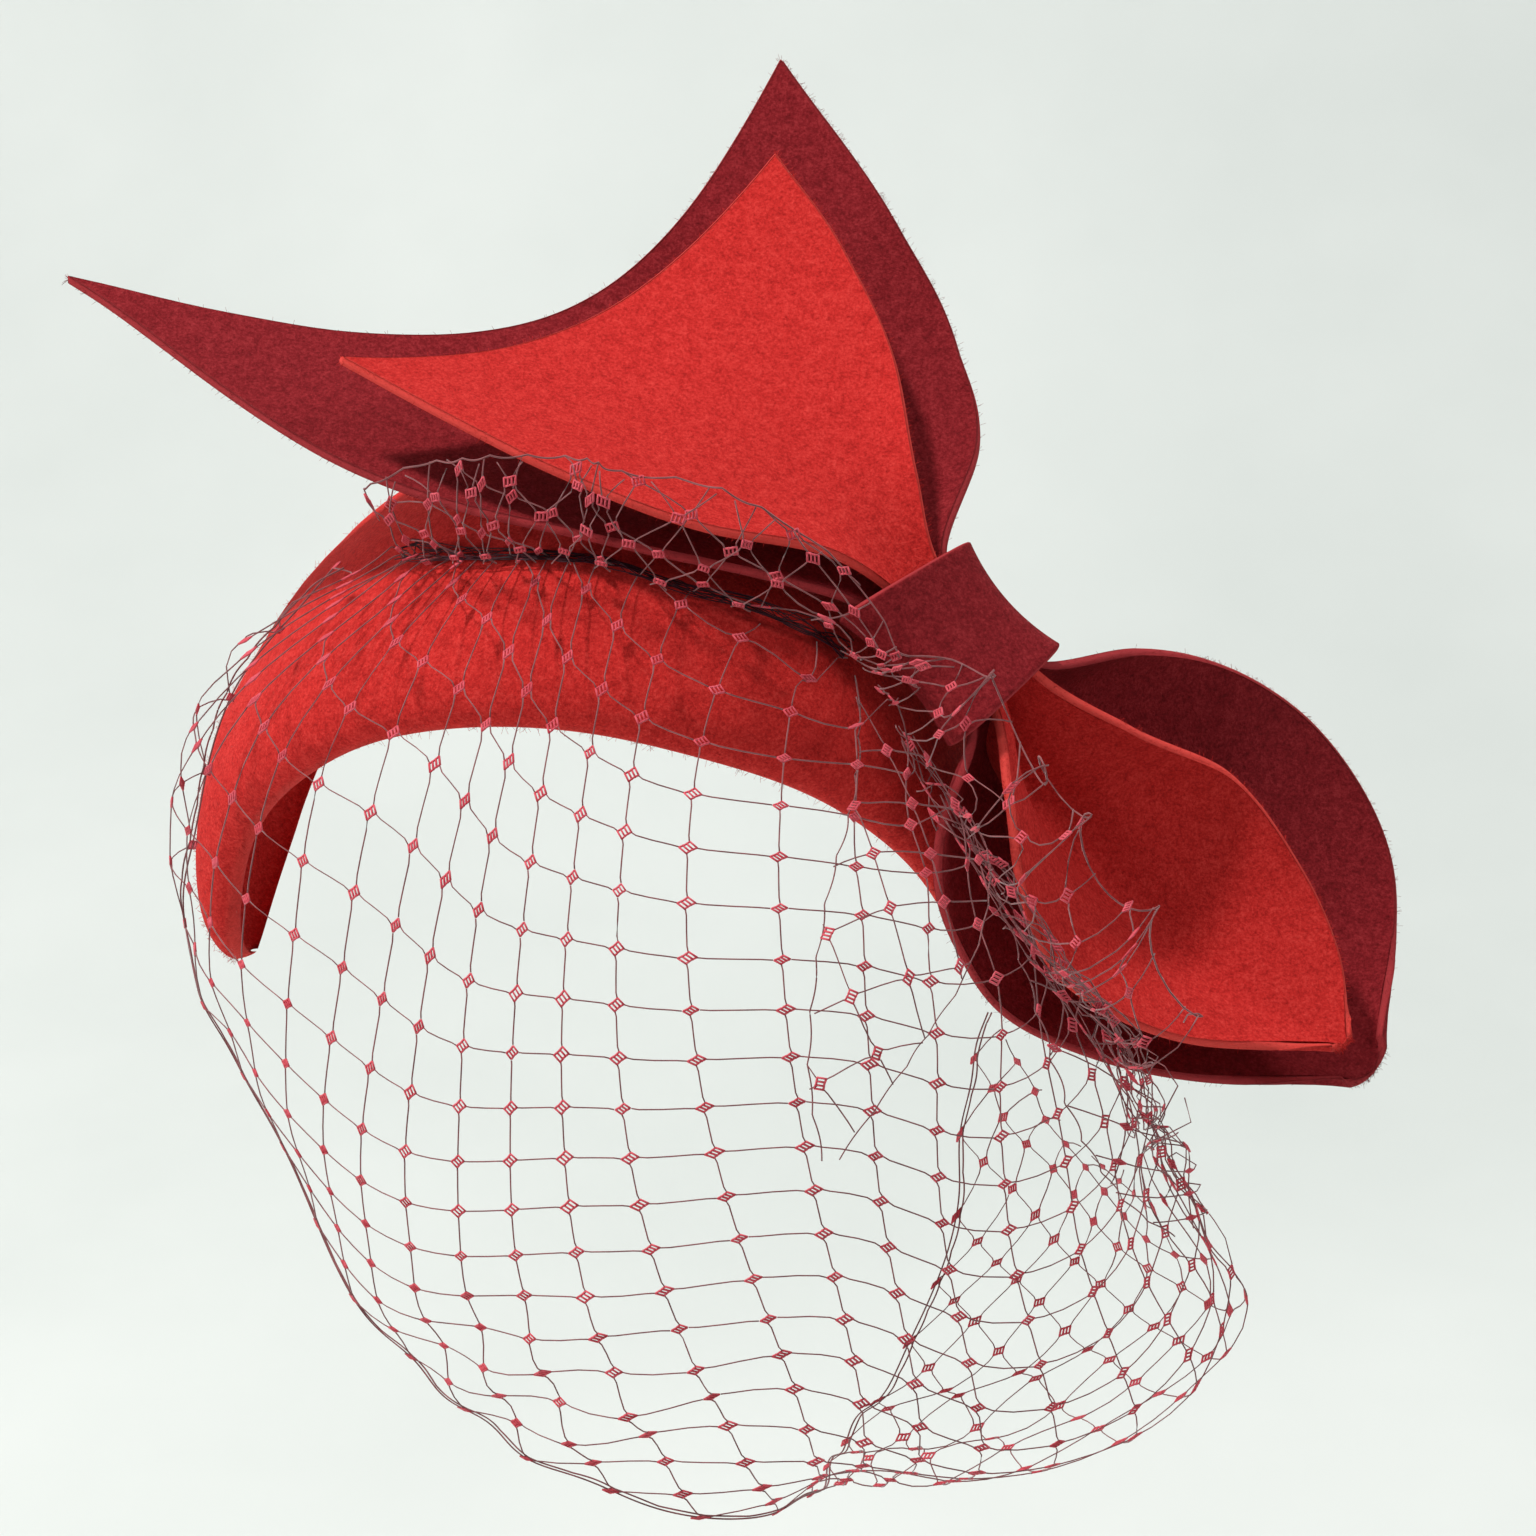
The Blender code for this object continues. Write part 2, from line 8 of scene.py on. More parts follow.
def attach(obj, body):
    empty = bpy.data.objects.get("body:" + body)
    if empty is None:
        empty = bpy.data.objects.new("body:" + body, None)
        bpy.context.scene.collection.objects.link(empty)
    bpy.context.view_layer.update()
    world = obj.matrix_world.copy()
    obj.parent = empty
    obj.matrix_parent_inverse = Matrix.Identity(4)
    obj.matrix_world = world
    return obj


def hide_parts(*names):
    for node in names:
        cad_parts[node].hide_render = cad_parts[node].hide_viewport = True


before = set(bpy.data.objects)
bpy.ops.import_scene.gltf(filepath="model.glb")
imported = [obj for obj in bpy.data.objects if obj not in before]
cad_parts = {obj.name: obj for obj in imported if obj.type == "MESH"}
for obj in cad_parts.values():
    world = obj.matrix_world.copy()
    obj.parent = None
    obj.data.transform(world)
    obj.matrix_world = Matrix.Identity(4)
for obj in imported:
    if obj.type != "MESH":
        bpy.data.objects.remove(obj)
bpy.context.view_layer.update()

# Sizes in metres, the same as in the solids.
HEAD_HALF_WIDTH, HEAD_HALF_DEPTH, HEAD_HALF_HEIGHT = 0.077, 0.097, 0.095
HEAD_SIZES = np.array([HEAD_HALF_WIDTH, HEAD_HALF_DEPTH, HEAD_HALF_HEIGHT])
HEAD_MIDDLE = np.array([0, 0, -HEAD_HALF_HEIGHT])
BASE_FELT, BASE_LIFT, BASE_END = 0.0030, 0.0210, 12
SEAT_GAP = 0.0006
BOW_ANGLE, BOW_FORWARD, BOW_STAND = 47, 18.5, 0.0117
BOW_ALONG = (-0.645, 0.146, 0.750)
BOW_OUT = (0.447, -0.724, 0.525)
BOW_REACH, BOW_FELT = 0.200, 0.0020
BAND_FELT, BAND_LENGTH, BAND_SLANT, BAND_SHIFT = 0.0022, 0.0300, 0.0030, 0.0042
BAND_HALF_WIDTH, BAND_HALF_DEPTH, BAND_FLARE = 0.0138, 0.0082, 1.16
VEIL_DROP, GATHER_THICKNESS, RUFFLE_HEIGHT = 0.200, 0.0018, 0.024

# Base sections: angle from the crown to +X, front rim, back rim, lift, stand.
BASE_ROWS = (
    (-93, 10, -12, 0.50, 0.25),
    (-72, 17, -24, 0.68, 0.20),
    (-48, 30, -32, 0.64, 0.10),
    (-22, 40, -36, 0.68, 0.05),
    (5, 44, -37, 0.80, 0.05),
    (30, 42, -35, 0.85, 0.05),
    (55, 33, -31, 0.80, 0.05),
    (75, 22, -25, 0.55, 0.05),
    (97, 8, -12, 0.40, 0.05),
)
# Bow sections: both edges along, across and out, and the dip, as shares of BOW_REACH.
OUTER_ROWS = (
    (0.885, 0.330, -0.355, 0.575, -0.390, -0.165, 0.045),
    (0.480, 0.300, -0.150, 0.350, -0.330, -0.120, 0.040),
    (0.275, 0.205, -0.025, 0.215, -0.260, -0.080, 0.040),
    (0.160, 0.125, 0.000, 0.125, -0.170, -0.035, 0.034),
    (0.085, 0.076, 0.000, 0.070, -0.035, 0.000, 0.020),
    (0.000, 0.073, 0.000, 0.000, -0.032, 0.000, 0.020),
    (-0.078, 0.074, 0.000, -0.078, -0.033, 0.000, 0.020),
    (-0.130, 0.165, -0.020, -0.150, -0.170, -0.055, 0.050),
    (-0.255, 0.205, -0.095, -0.310, -0.285, -0.085, 0.060),
    (-0.380, 0.175, -0.125, -0.475, -0.280, -0.105, 0.055),
    (-0.520, 0.078, -0.118, -0.560, -0.210, -0.105, 0.032),
    (-0.620, -0.030, -0.090, -0.620, -0.095, -0.085, 0.006),
)
INNER_ROWS = (
    (0.615, 0.265, -0.130, 0.495, -0.265, -0.105, 0.045),
    (0.375, 0.220, -0.015, 0.362, -0.222, -0.065, 0.040),
    (0.250, 0.168, 0.030, 0.250, -0.160, -0.030, 0.032),
    (0.145, 0.080, 0.034, 0.150, -0.070, 0.004, 0.020),
    (0.070, 0.045, 0.013, 0.070, -0.015, 0.013, 0.009),
    (0.000, 0.045, 0.013, 0.000, -0.015, 0.013, 0.009),
    (-0.070, 0.045, 0.013, -0.070, -0.015, 0.013, 0.009),
    (-0.145, 0.103, 0.022, -0.170, -0.070, -0.015, 0.036),
    (-0.235, 0.155, -0.002, -0.290, -0.143, -0.045, 0.055),
    (-0.340, 0.165, -0.033, -0.425, -0.143, -0.060, 0.045),
    (-0.470, 0.095, -0.047, -0.525, -0.100, -0.052, 0.018),
    (-0.590, -0.032, -0.038, -0.590, -0.032, -0.038, 0.000),
)
OUTER_HOLLOW_END, INNER_HOLLOW_END = 0.62, 0.28
# Veil sections: place, angle, share, off, edge x y z, way, upper, middle, lower, raise.
VEIL_ROWS = (
    (0.00, -21, 0.275, 0.00, -0.47, -0.33, 0.84, -40, 0.010, 0.015, 0.010, 0.000),
    (0.05, -19, 0.260, 0.00, -0.70, -0.37, 0.63, -41, 0.060, 0.080, 0.045, 0.020),
    (0.10, -16, 0.245, 0.00, -0.84, -0.34, 0.30, -42, 0.110, 0.125, 0.060, 0.040),
    (0.19, -10, 0.225, 0.00, -0.83, -0.38, 0.05, -30, 0.140, 0.140, 0.060, 0.030),
    (0.29, -2, 0.215, 0.00, -0.65, -0.50, -0.14, -10, 0.185, 0.205, 0.115, 0.020),
    (0.44, 7, 0.205, 0.00, -0.37, -0.77, -0.46, 2, 0.180, 0.215, 0.130, 0.040),
    (0.54, 17, 0.190, 0.00, 0.04, -1.04, -0.61, 6, 0.150, 0.150, 0.090, 0.040),
    (0.62, 28, 0.200, 0.00, 0.39, -1.01, -0.71, 18, 0.160, 0.150, 0.095, 0.030),
    (0.73, 40, 0.200, 0.00, 0.52, -0.48, -0.82, 34, 0.215, 0.275, 0.260, -0.080),
    (0.83, 51, 0.120, 0.32, 0.67, -0.14, -0.74, 52, 0.180, 0.275, 0.310, -0.120),
    (0.89, 61, 0.075, 0.80, 0.72, 0.05, -0.61, 58, 0.180, 0.265, 0.300, -0.130),
    (0.94, 73, 0.045, 1.46, 0.73, 0.14, -0.43, 50, 0.170, 0.225, 0.240, -0.130),
    (1.00, 89, 0.065, 1.85, 0.79, 0.16, -0.24, 35, 0.165, 0.175, 0.130, -0.130),
)
VEIL_SHARES = (0.0, 0.25, 0.55, 0.85, 1.0)
# Ruffle: place, top x y z from the gather line, puff, as shares of RUFFLE_HEIGHT.
RUFFLE_ROWS = (
    (0.00, -0.15, -0.32, 0.60, 0.10),
    (0.10, -0.12, -0.38, 0.92, 0.15),
    (0.29, 0.15, -0.35, 0.92, 0.20),
    (0.44, 0.18, -0.40, 0.94, 0.20),
    (0.54, 0.28, -0.40, 1.00, 0.20),
    (0.62, 0.30, -0.50, 0.70, 0.15),
    (0.73, 0.45, -1.00, 0.25, 0.15),
    (0.83, 0.50, -0.90, 0.55, 0.35),
    (0.89, 0.50, -1.10, 0.55, 0.50),
    (0.94, 0.45, -1.00, 0.70, 0.60),
    (1.00, 0.30, -0.90, 0.40, 0.55),
)
# Flat cut of the net: for each place of the gather line, how far along the net's straight
# edge it lies, how far from that edge, and how the net is taken up between the two.
CUT_ROWS = (
    (0.00, 0.000, 0.005, 1.00),
    (0.10, 0.036, 0.060, 1.00),
    (0.19, 0.060, 0.105, 1.00),
    (0.29, 0.076, 0.135, 1.00),
    (0.36, 0.082, 0.154, 1.05),
    (0.44, 0.088, 0.170, 1.25),
    (0.54, 0.096, 0.190, 1.48),
    (0.62, 0.104, 0.205, 1.50),
    (0.73, 0.130, 0.216, 1.45),
    (0.83, 0.185, 0.220, 1.35),
    (0.89, 0.238, 0.218, 1.30),
    (0.94, 0.290, 0.206, 1.20),
    (1.00, 0.365, 0.150, 1.10),
)
NET_SIDE = 0.0127              # side of a diamond of the net
NET_STEP = NET_SIDE / math.sqrt(2)
THREAD = 0.00015               # half the thickness of a net thread
KNOT_WIDE, KNOT_HIGH = 0.00092, 0.00108      # half sizes of a knot of the net
KNOT_BARS, KNOT_BAR = 4, 0.00023             # its bars, and half their thickness
CUT_MISS = 2e-4                # a flat place farther than this from the cut is off the net
CRUSHED = 0.40                 # a thread drawn up to less of its length lies hidden in the gathering
THREAD_TESTS, STUB = 13, 0.12                # tests along a cut thread, and its shortest share
PLEAT_EVERY, PLEAT_OUT = 0.041, 0.0050       # folds below the gather line: spacing and height
UNDER_EVERY, UNDER_OUT = 0.033, 0.0045       # folds near the free edge
LOOSE_EVERY = 0.0165           # spacing of the loosened parts of the gathering
RUFFLE_NET = 0.027             # net left above the gather line
RUFFLE_FULL = 2.3              # most of its length for each length of the gather line
FLUTE_EVERY, FLUTE_OUT, FLUTE_SIDE = 0.042, 0.0042, 0.0030
SIDE_RUFFLE = (0.0055, 0.0075, 0.0020)       # how far the ruffle opens over the petal
FRONT_TURN, FRONT_REACH = 24, 0.108          # slant of the ruffle's second layer, and its length
FRONT_SHIFT = (0.0010, -0.0032, -0.0006)     # and how far it lies in front of the first
SELVAGE_STEPS, SCALLOPS = 1400, 22
GATHER_END, GATHER_STRANDS, STRAND = 0.72, 13, 0.00012
PETAL_TUCK = 0.0110            # how far the bright petal is pressed in beside the band
EDGE_STEPS, EDGE_BULGE = 4, 0.45             # rounding of the felt's cut edges
BOW_STEPS_LONG, BOW_STEPS_WIDE = 241, 57
TIP_ROUND, TIP_FROM, TIP_LONG = 0.30, 0.93, 0.07             # rounded tips of the petals
FIBRE, BASE_FIBRE, BOW_FIBRE = 0.000032, 0.0016, 0.0015      # half thickness, and lengths
BASE_FIBRES, BOW_FIBRES, FIBRE_LEAN = 5000, 6000, 0.8
BASE_EDGE_SHARE, BOW_EDGE_SHARE = 6, 14      # how many times the edges count in the fibres' places
FLOOR_LEVEL, FLOOR_HALF_WIDTH, FLOOR_CELLS = -0.42, 3.5, 14
FLOOR_FRONT, BEND_FROM, BEND, BEND_STEPS, WALL_TOP = -2.5, 0.6, 0.9, 14, 3.5
CAMERA_PLACE, CAMERA_AIM = (0.1032, -0.7345, 0.2047), (0.0381, -0.0308, -0.0463)
CAMERA_ROLL, CAMERA_LENS = -2.54, 84.19
WORLD_COLOUR, WORLD_STRENGTH = (0.86, 0.92, 0.91, 1.0), 0.22
# Lights: name, place, aim, size in metres, power in watts, colour.
LIGHTS = (
    ("key", (-0.62, -0.20, 1.75), (0.02, -0.03, -0.05), 0.26, 32.0, (1.0, 0.985, 0.96)),
    ("front", (-1.60, -0.85, 0.30), (0.02, -0.03, -0.05), 0.35, 15.0, (1.0, 0.99, 0.97)),
    ("side", (1.50, -0.30, 0.90), (0.05, -0.03, -0.05), 0.5, 9.0, (1.0, 0.99, 0.99)),
    ("wall", (0.0, 0.75, 1.9), (0.0, 1.5, 0.2), 1.0, 4.0, (0.97, 1.0, 1.0)),
)


# Curves and directions.
def spline(knots, values, at):
    """A smooth curve through the rows of a table."""
    knots = np.asarray(knots, float)
    values = np.asarray(values, float)
    at = np.clip(np.asarray(at, float), knots[0], knots[-1])
    steps = np.diff(knots)
    slopes = np.diff(values, axis=0) / steps.reshape((-1,) + (1,) * (values.ndim - 1))
    tangents = np.empty_like(values)
    tangents[0] = slopes[0]
    tangents[-1] = slopes[-1]
    for i in range(1, len(knots) - 1):
        before, after = steps[i - 1], steps[i]
        tangents[i] = (after * slopes[i - 1] + before * slopes[i]) / (before + after)
    i = np.clip(np.searchsorted(knots, at, side="right") - 1, 0, len(knots) - 2)
    h = steps[i]
    t = (at - knots[i]) / h
    if values.ndim > 1:
        t = t[..., None]
        h = h[..., None]
    return ((1 + 2 * t) * (1 - t) ** 2 * values[i] + t * (1 - t) ** 2 * h * tangents[i]
            + t * t * (3 - 2 * t) * values[i + 1] + t * t * (t - 1) * h * tangents[i + 1])


def unit(v):
    v = np.asarray(v, float)
    return v / np.maximum(np.linalg.norm(v, axis=-1, keepdims=True), 1e-12)


def run_along(points):
    """The length of a path up to each of its points."""
    return np.concatenate([[0], np.cumsum(np.linalg.norm(np.diff(points, axis=0), axis=1))])


def grid_normals(p):
    return unit(np.cross(np.gradient(p, axis=0), np.gradient(p, axis=1)))


def over_head(angle, forward, rise):
    """A place at two angles from HEAD_MIDDLE, in degrees, and this far off."""
    a, b = np.radians(angle), np.radians(forward)
    way = np.stack([np.sin(a) * np.cos(b), -np.sin(b), np.cos(a) * np.cos(b)], -1)
    return HEAD_MIDDLE + HEAD_SIZES * way + unit(way / HEAD_SIZES) * rise[..., None]


def base_values(angle):
    rows = np.array(BASE_ROWS, float)
    front, back, lift, stand = np.moveaxis(spline(rows[:, 0], rows[:, 1:], angle), -1, 0)
    edge = np.minimum(angle - rows[0, 0], rows[-1, 0] - angle) / BASE_END
    close = np.sqrt(np.clip(1 - (1 - np.clip(edge, 0, 1)) ** 2, 0, 1))
    return front, back, lift, stand, close


def base_point(angle, share, inner=0.0):
    """A place on the domed base, from its front rim to its back rim, and how deep in the felt."""
    front, back, lift, stand, close = base_values(angle)
    middle = (front + back) / 2
    trim = np.degrees(inner / HEAD_HALF_DEPTH)
    half = np.maximum((front - back) / 2 * close - trim, 0)
    forward = middle + (1 - 2 * share) * half
    skew = np.clip(share, 0, 1) ** 0.90
    dome = np.clip(1 - np.abs(2 * skew - 1) ** 2.2, 0, 1) ** 0.5
    rise = BASE_LIFT * stand + BASE_LIFT * (lift - stand) * dome * close ** 0.8 + BASE_FELT - inner
    return over_head(angle, forward, rise)


def base_rim(angle, side, turn):
    """A place on the rounded rim of the base, from its outer side to its inner side."""
    front, back, lift, stand, close = base_values(angle)
    middle = (front + back) / 2
    half = (front - back) / 2 * close
    trim = np.minimum(np.degrees(BASE_FELT / HEAD_HALF_DEPTH), half)
    a = math.pi / 2 * turn
    forward = middle + side * (half - trim * (1 - math.cos(a)))
    return over_head(angle, forward, BASE_LIFT * stand + BASE_FELT * (1 - math.sin(a)))


def bow_centre():
    rise = np.array(BASE_LIFT + BASE_FELT + BOW_STAND)
    return over_head(np.array(float(BOW_ANGLE)), np.array(float(BOW_FORWARD)), rise)


def bow_axes():
    along = unit(BOW_ALONG)
    out = np.array(BOW_OUT, float)
    out = unit(out - out @ along * along)
    return along, np.cross(out, along), out


def bow_sheet(rows, hollow, u, v):
    """A place on a layer of the bow, along it and from edge to edge."""
    table = np.array(rows, float) * BOW_REACH
    middles = (table[:, 0:3] + table[:, 3:6]) / 2
    knots = run_along(middles)
    first = knots[1] * hollow * 4 * v * (1 - v)
    s = first + u * (knots[-1] - first)
    value = spline(knots, table, s)
    low, high, dip = value[..., 0:3], value[..., 3:6], value[..., 6]
    step = knots[-1] * 1e-4
    ahead = spline(knots, table, s + step)
    behind = spline(knots, table, s - step)
    forward = (ahead[..., 0:3] + ahead[..., 3:6]) - (behind[..., 0:3] + behind[..., 3:6])
    back = unit(np.cross(high - low, forward) - np.array([0, 0, 1e-9]))
    local = low + (high - low) * v[..., None] + back * (dip * 4 * v * (1 - v))[..., None]
    along, across, out = bow_axes()
    return (bow_centre() + local[..., 0:1] * along + local[..., 1:2] * across
            + local[..., 2:3] * out)


def band_point(turn, place, inner=0.0):
    along, across, out = bow_axes()
    flare = 1 + (BAND_FLARE - 1) * (2 * place - 1) ** 2
    a = 2 * math.pi * turn
    round_x = np.sign(np.cos(a)) * np.abs(np.cos(a)) ** 0.8
    round_y = np.sign(np.sin(a)) * np.abs(np.sin(a)) ** 0.8
    side = BAND_SHIFT + (BAND_HALF_WIDTH * flare - inner) * round_x
    face = (BAND_HALF_DEPTH * flare - inner) * round_y
    level = BAND_LENGTH * (0.5 - place) + BAND_SLANT * (1 - place) * round_x
    return (bow_centre() + level[..., None] * along + side[..., None] * across
            + face[..., None] * out)


def heading(degrees):
    a = np.radians(degrees)
    return np.stack([np.sin(a), -np.cos(a), np.zeros_like(a)], -1)


def veil_section(u):
    """The five points that the veil passes through on its way down, at a place of the gathering."""
    rows = np.array(VEIL_ROWS, float)
    value = spline(rows[:, 0], rows[:, 1:], u)
    off = GATHER_THICKNESS / 2 + SEAT_GAP + value[..., 2] * BASE_LIFT
    gather = base_point(value[..., 0], value[..., 1], -off)
    edge = (HEAD_MIDDLE + HEAD_SIZES * value[..., 3:6]
            + unit(value[..., 3:6] / HEAD_SIZES) * BASE_LIFT)
    out = heading(value[..., 6])
    up = np.array([0, 0, 1.0])
    points = [gather]
    for column, share in ((7, VEIL_SHARES[1]), (8, VEIL_SHARES[2]), (9, VEIL_SHARES[3])):
        belly = out * value[..., column:column + 1] + up * value[..., 10:11] * share
        points.append(gather + (edge - gather) * share + belly * VEIL_DROP)
    points.append(edge)
    return np.stack(points, -2)


def ruffle_point(u, v):
    """A place on the smooth ruffle, along the gather line and up from it."""
    rows = np.array(RUFFLE_ROWS, float)
    value = spline(rows[:, 0], rows[:, 1:], u) * RUFFLE_HEIGHT
    gather = veil_section(u)[..., 0, :]
    puff = value[..., 3] * 4 * v * (1 - v)
    return gather + value[..., 0:3] * v[..., None] + heading(0.0) * puff[..., None]


# A fine grid over the veil, for the places of the threads.
GRID_LONG, GRID_DOWN, CURVE_STEPS = 321, 97, 121
COARSE, FIND_STEPS = 8, 25     # the search for a flat place: cells of its start, and steps


def veil_grid():
    places = np.linspace(0, 1, GRID_LONG)
    sections = veil_section(places)
    fine = np.linspace(0, 1, CURVE_STEPS)
    grid = np.empty((GRID_LONG, GRID_DOWN, 3))
    for k in range(GRID_LONG):
        curve = spline(VEIL_SHARES, sections[k], fine)
        run = run_along(curve)
        at = np.linspace(0, run[-1], GRID_DOWN)
        for axis in range(3):
            grid[k, :, axis] = np.interp(at, run, curve[:, axis])
    return grid


def on_grid(grid, u, v):
    """The value of a grid between its points."""
    x = np.clip(u, 0, 1) * (GRID_LONG - 1)
    y = np.clip(v, 0, 1) * (GRID_DOWN - 1)
    i = np.minimum(x.astype(int), GRID_LONG - 2)
    j = np.minimum(y.astype(int), GRID_DOWN - 2)
    a, b = (x - i)[..., None], (y - j)[..., None]
    return (grid[i, j] * (1 - a) * (1 - b) + grid[i + 1, j] * a * (1 - b)
            + grid[i, j + 1] * (1 - a) * b + grid[i + 1, j + 1] * a * b)


VEIL = veil_grid()
VEIL_OUT = grid_normals(VEIL)
half_way = GRID_LONG // 2, GRID_DOWN // 2
if (VEIL[half_way] - HEAD_MIDDLE) @ VEIL_OUT[half_way] < 0:
    VEIL_OUT = -VEIL_OUT
EDGE_RUN = run_along(VEIL[:, -1])


def flat_grid():
    """Flat place, along and from the straight edge, of each point of the fine grid."""
    edge_highlight = np.array(CUT_ROWS)
    v = np.linspace(0, 1, GRID_DOWN)[None, :]
    at_gather = spline(edge_highlight[:, 0], edge_highlight[:, 1:], np.linspace(0, 1, GRID_LONG))
    along = at_gather[:, 0:1] * (1 - v) + EDGE_RUN[:, None] * v
    away = at_gather[:, 1:2] * (1 - v ** at_gather[:, 2:3])
    return np.stack([along, away], -1)


FLAT = flat_grid()


def find_on_grid(flat, along, away):
    """The grid place of each flat place, and how far off it is."""
    want = np.stack([along, away], -1)
    coarse = flat[::COARSE, ::COARSE].reshape(-1, 2)
    uu, vv = np.meshgrid(np.linspace(0, 1, GRID_LONG), np.linspace(0, 1, GRID_DOWN), indexing="ij")
    near = ((want[:, None] - coarse[None]) ** 2).sum(-1).argmin(1)
    u, v = uu[::COARSE, ::COARSE].ravel()[near], vv[::COARSE, ::COARSE].ravel()[near]
    h = 1e-3
    for _ in range(FIND_STEPS):
        here = on_grid(flat, u, v)
        miss = here - want
        u2 = np.where(u > 0.5, u - h, u + h)
        v2 = np.where(v > 0.5, v - h, v + h)
        du = (on_grid(flat, u2, v) - here) / (u2 - u)[:, None]
        dv = (on_grid(flat, u, v2) - here) / (v2 - v)[:, None]
        det = du[:, 0] * dv[:, 1] - du[:, 1] * dv[:, 0]
        det = np.where(np.abs(det) < 1e-9, 1e-9, det)
        su = (miss[:, 0] * dv[:, 1] - miss[:, 1] * dv[:, 0]) / det
        sv = (du[:, 0] * miss[:, 1] - du[:, 1] * miss[:, 0]) / det
        u = np.clip(u - np.clip(su, -0.05, 0.05), 0, 1)
        v = np.clip(v - np.clip(sv, -0.1, 0.1), 0, 1)
    return u, v, np.linalg.norm(on_grid(flat, u, v) - want, axis=1)


# Materials.
def new_material(name):
    material = bpy.data.materials.new(name)
    material.use_nodes = True
    nodes = material.node_tree.nodes
    return material, nodes, material.node_tree.links, nodes["Principled BSDF"]


def add_noise(nodes, links, coordinate, scale, detail=4.0, rough=0.6):
    texture = nodes.new("ShaderNodeTexNoise")
    texture.inputs["Scale"].default_value = scale
    texture.inputs["Detail"].default_value = detail
    texture.inputs["Roughness"].default_value = rough
    links.new(coordinate, texture.inputs["Vector"])
    return texture.outputs["Fac"]


def add_ramp(nodes, links, value, stops):
    ramp = nodes.new("ShaderNodeValToRGB")
    while len(ramp.color_ramp.elements) < len(stops):
        ramp.color_ramp.elements.new(0.5)
    for element, (place, colour) in zip(ramp.color_ramp.elements, stops):
        element.position = place
        element.color = (*colour, 1.0)
    links.new(value, ramp.inputs["Fac"])
    return ramp.outputs["Color"]


def felt_material(name, dark, middle, light, edge_highlight, sheen):
    """Pressed wool: mottled in fine and broad patches, with a paler colour on its cut edges that is a
    painted highlight.
    """
    material, nodes, links, shader = new_material(name)
    place = nodes.new("ShaderNodeTexCoord").outputs["Object"]
    fine = add_noise(nodes, links, place, 1500, 3, 0.75)
    broad = add_noise(nodes, links, place, 420, 5, 0.65)
    mixed = nodes.new("ShaderNodeMix")
    mixed.inputs["Factor"].default_value = 0.36
    links.new(fine, mixed.inputs["A"])
    links.new(broad, mixed.inputs["B"])
    felt = add_ramp(nodes, links, mixed.outputs["Result"],
                    ((0.33, dark), (0.50, middle), (0.67, light)))
    # The paler colour blended in on the edges is a painted highlight.
    edge = nodes.new("ShaderNodeAttribute")
    edge.attribute_name = "edge_highlight"
    blend = nodes.new("ShaderNodeMix")
    blend.data_type = "RGBA"
    links.new(edge.outputs["Fac"], blend.inputs["Factor"])
    links.new(felt, blend.inputs["A"])
    blend.inputs["B"].default_value = (*edge_highlight, 1.0)
    links.new(blend.outputs["Result"], shader.inputs["Base Color"])
    shader.inputs["Roughness"].default_value = 0.95
    shader.inputs["Specular IOR Level"].default_value = 0.15
    shader.inputs["Sheen Weight"].default_value = sheen
    shader.inputs["Sheen Roughness"].default_value = 0.45
    shader.inputs["Sheen Tint"].default_value = (*light, 1.0)
    bump = nodes.new("ShaderNodeBump")
    bump.inputs["Strength"].default_value = 0.75
    bump.inputs["Distance"].default_value = 0.0006
    links.new(add_noise(nodes, links, place, 1500, 6, 0.75), bump.inputs["Height"])
    links.new(bump.outputs["Normal"], shader.inputs["Normal"])
    return material


def thread_material(name, dark, light, sheen):
    material, nodes, links, shader = new_material(name)
    place = nodes.new("ShaderNodeTexCoord").outputs["Object"]
    patches = add_noise(nodes, links, place, 260, 3)
    colour = add_ramp(nodes, links, patches, ((0.35, dark), (0.65, light)))
    links.new(colour, shader.inputs["Base Color"])
    shader.inputs["Roughness"].default_value = 0.5
    shader.inputs["Specular IOR Level"].default_value = 0.25
    shader.inputs["Sheen Weight"].default_value = sheen
    bump = nodes.new("ShaderNodeBump")
    bump.inputs["Strength"].default_value = 0.4
    bump.inputs["Distance"].default_value = 0.0001
    links.new(add_noise(nodes, links, place, 4000, 2), bump.inputs["Height"])
    links.new(bump.outputs["Normal"], shader.inputs["Normal"])
    return material


# The last colour given to each felt is a painted highlight for its cut edges.
bright_felt = felt_material("felt_bright_red", (0.34, 0.009, 0.009), (0.60, 0.024, 0.021),
                            (0.76, 0.056, 0.048), (0.80, 0.075, 0.062), 0.12)
dark_felt = felt_material("felt_dark_red", (0.110, 0.003, 0.005), (0.235, 0.011, 0.016),
                          (0.37, 0.030, 0.036), (0.42, 0.040, 0.046), 0.12)
net_thread = thread_material("net_dusty_red", (0.15, 0.036, 0.040), (0.27, 0.070, 0.075), 0.30)
net_knot = thread_material("net_knot_pink", (0.58, 0.050, 0.075), (0.70, 0.095, 0.13), 0.10)
# Near-black gather thread: real gathered strands, coloured as painted shade of the shadowed gap
# between base and bow.
gather_shade_thread = thread_material("gather_painted_shade", (0.018, 0.001, 0.004), (0.050, 0.004, 0.012), 0.0)


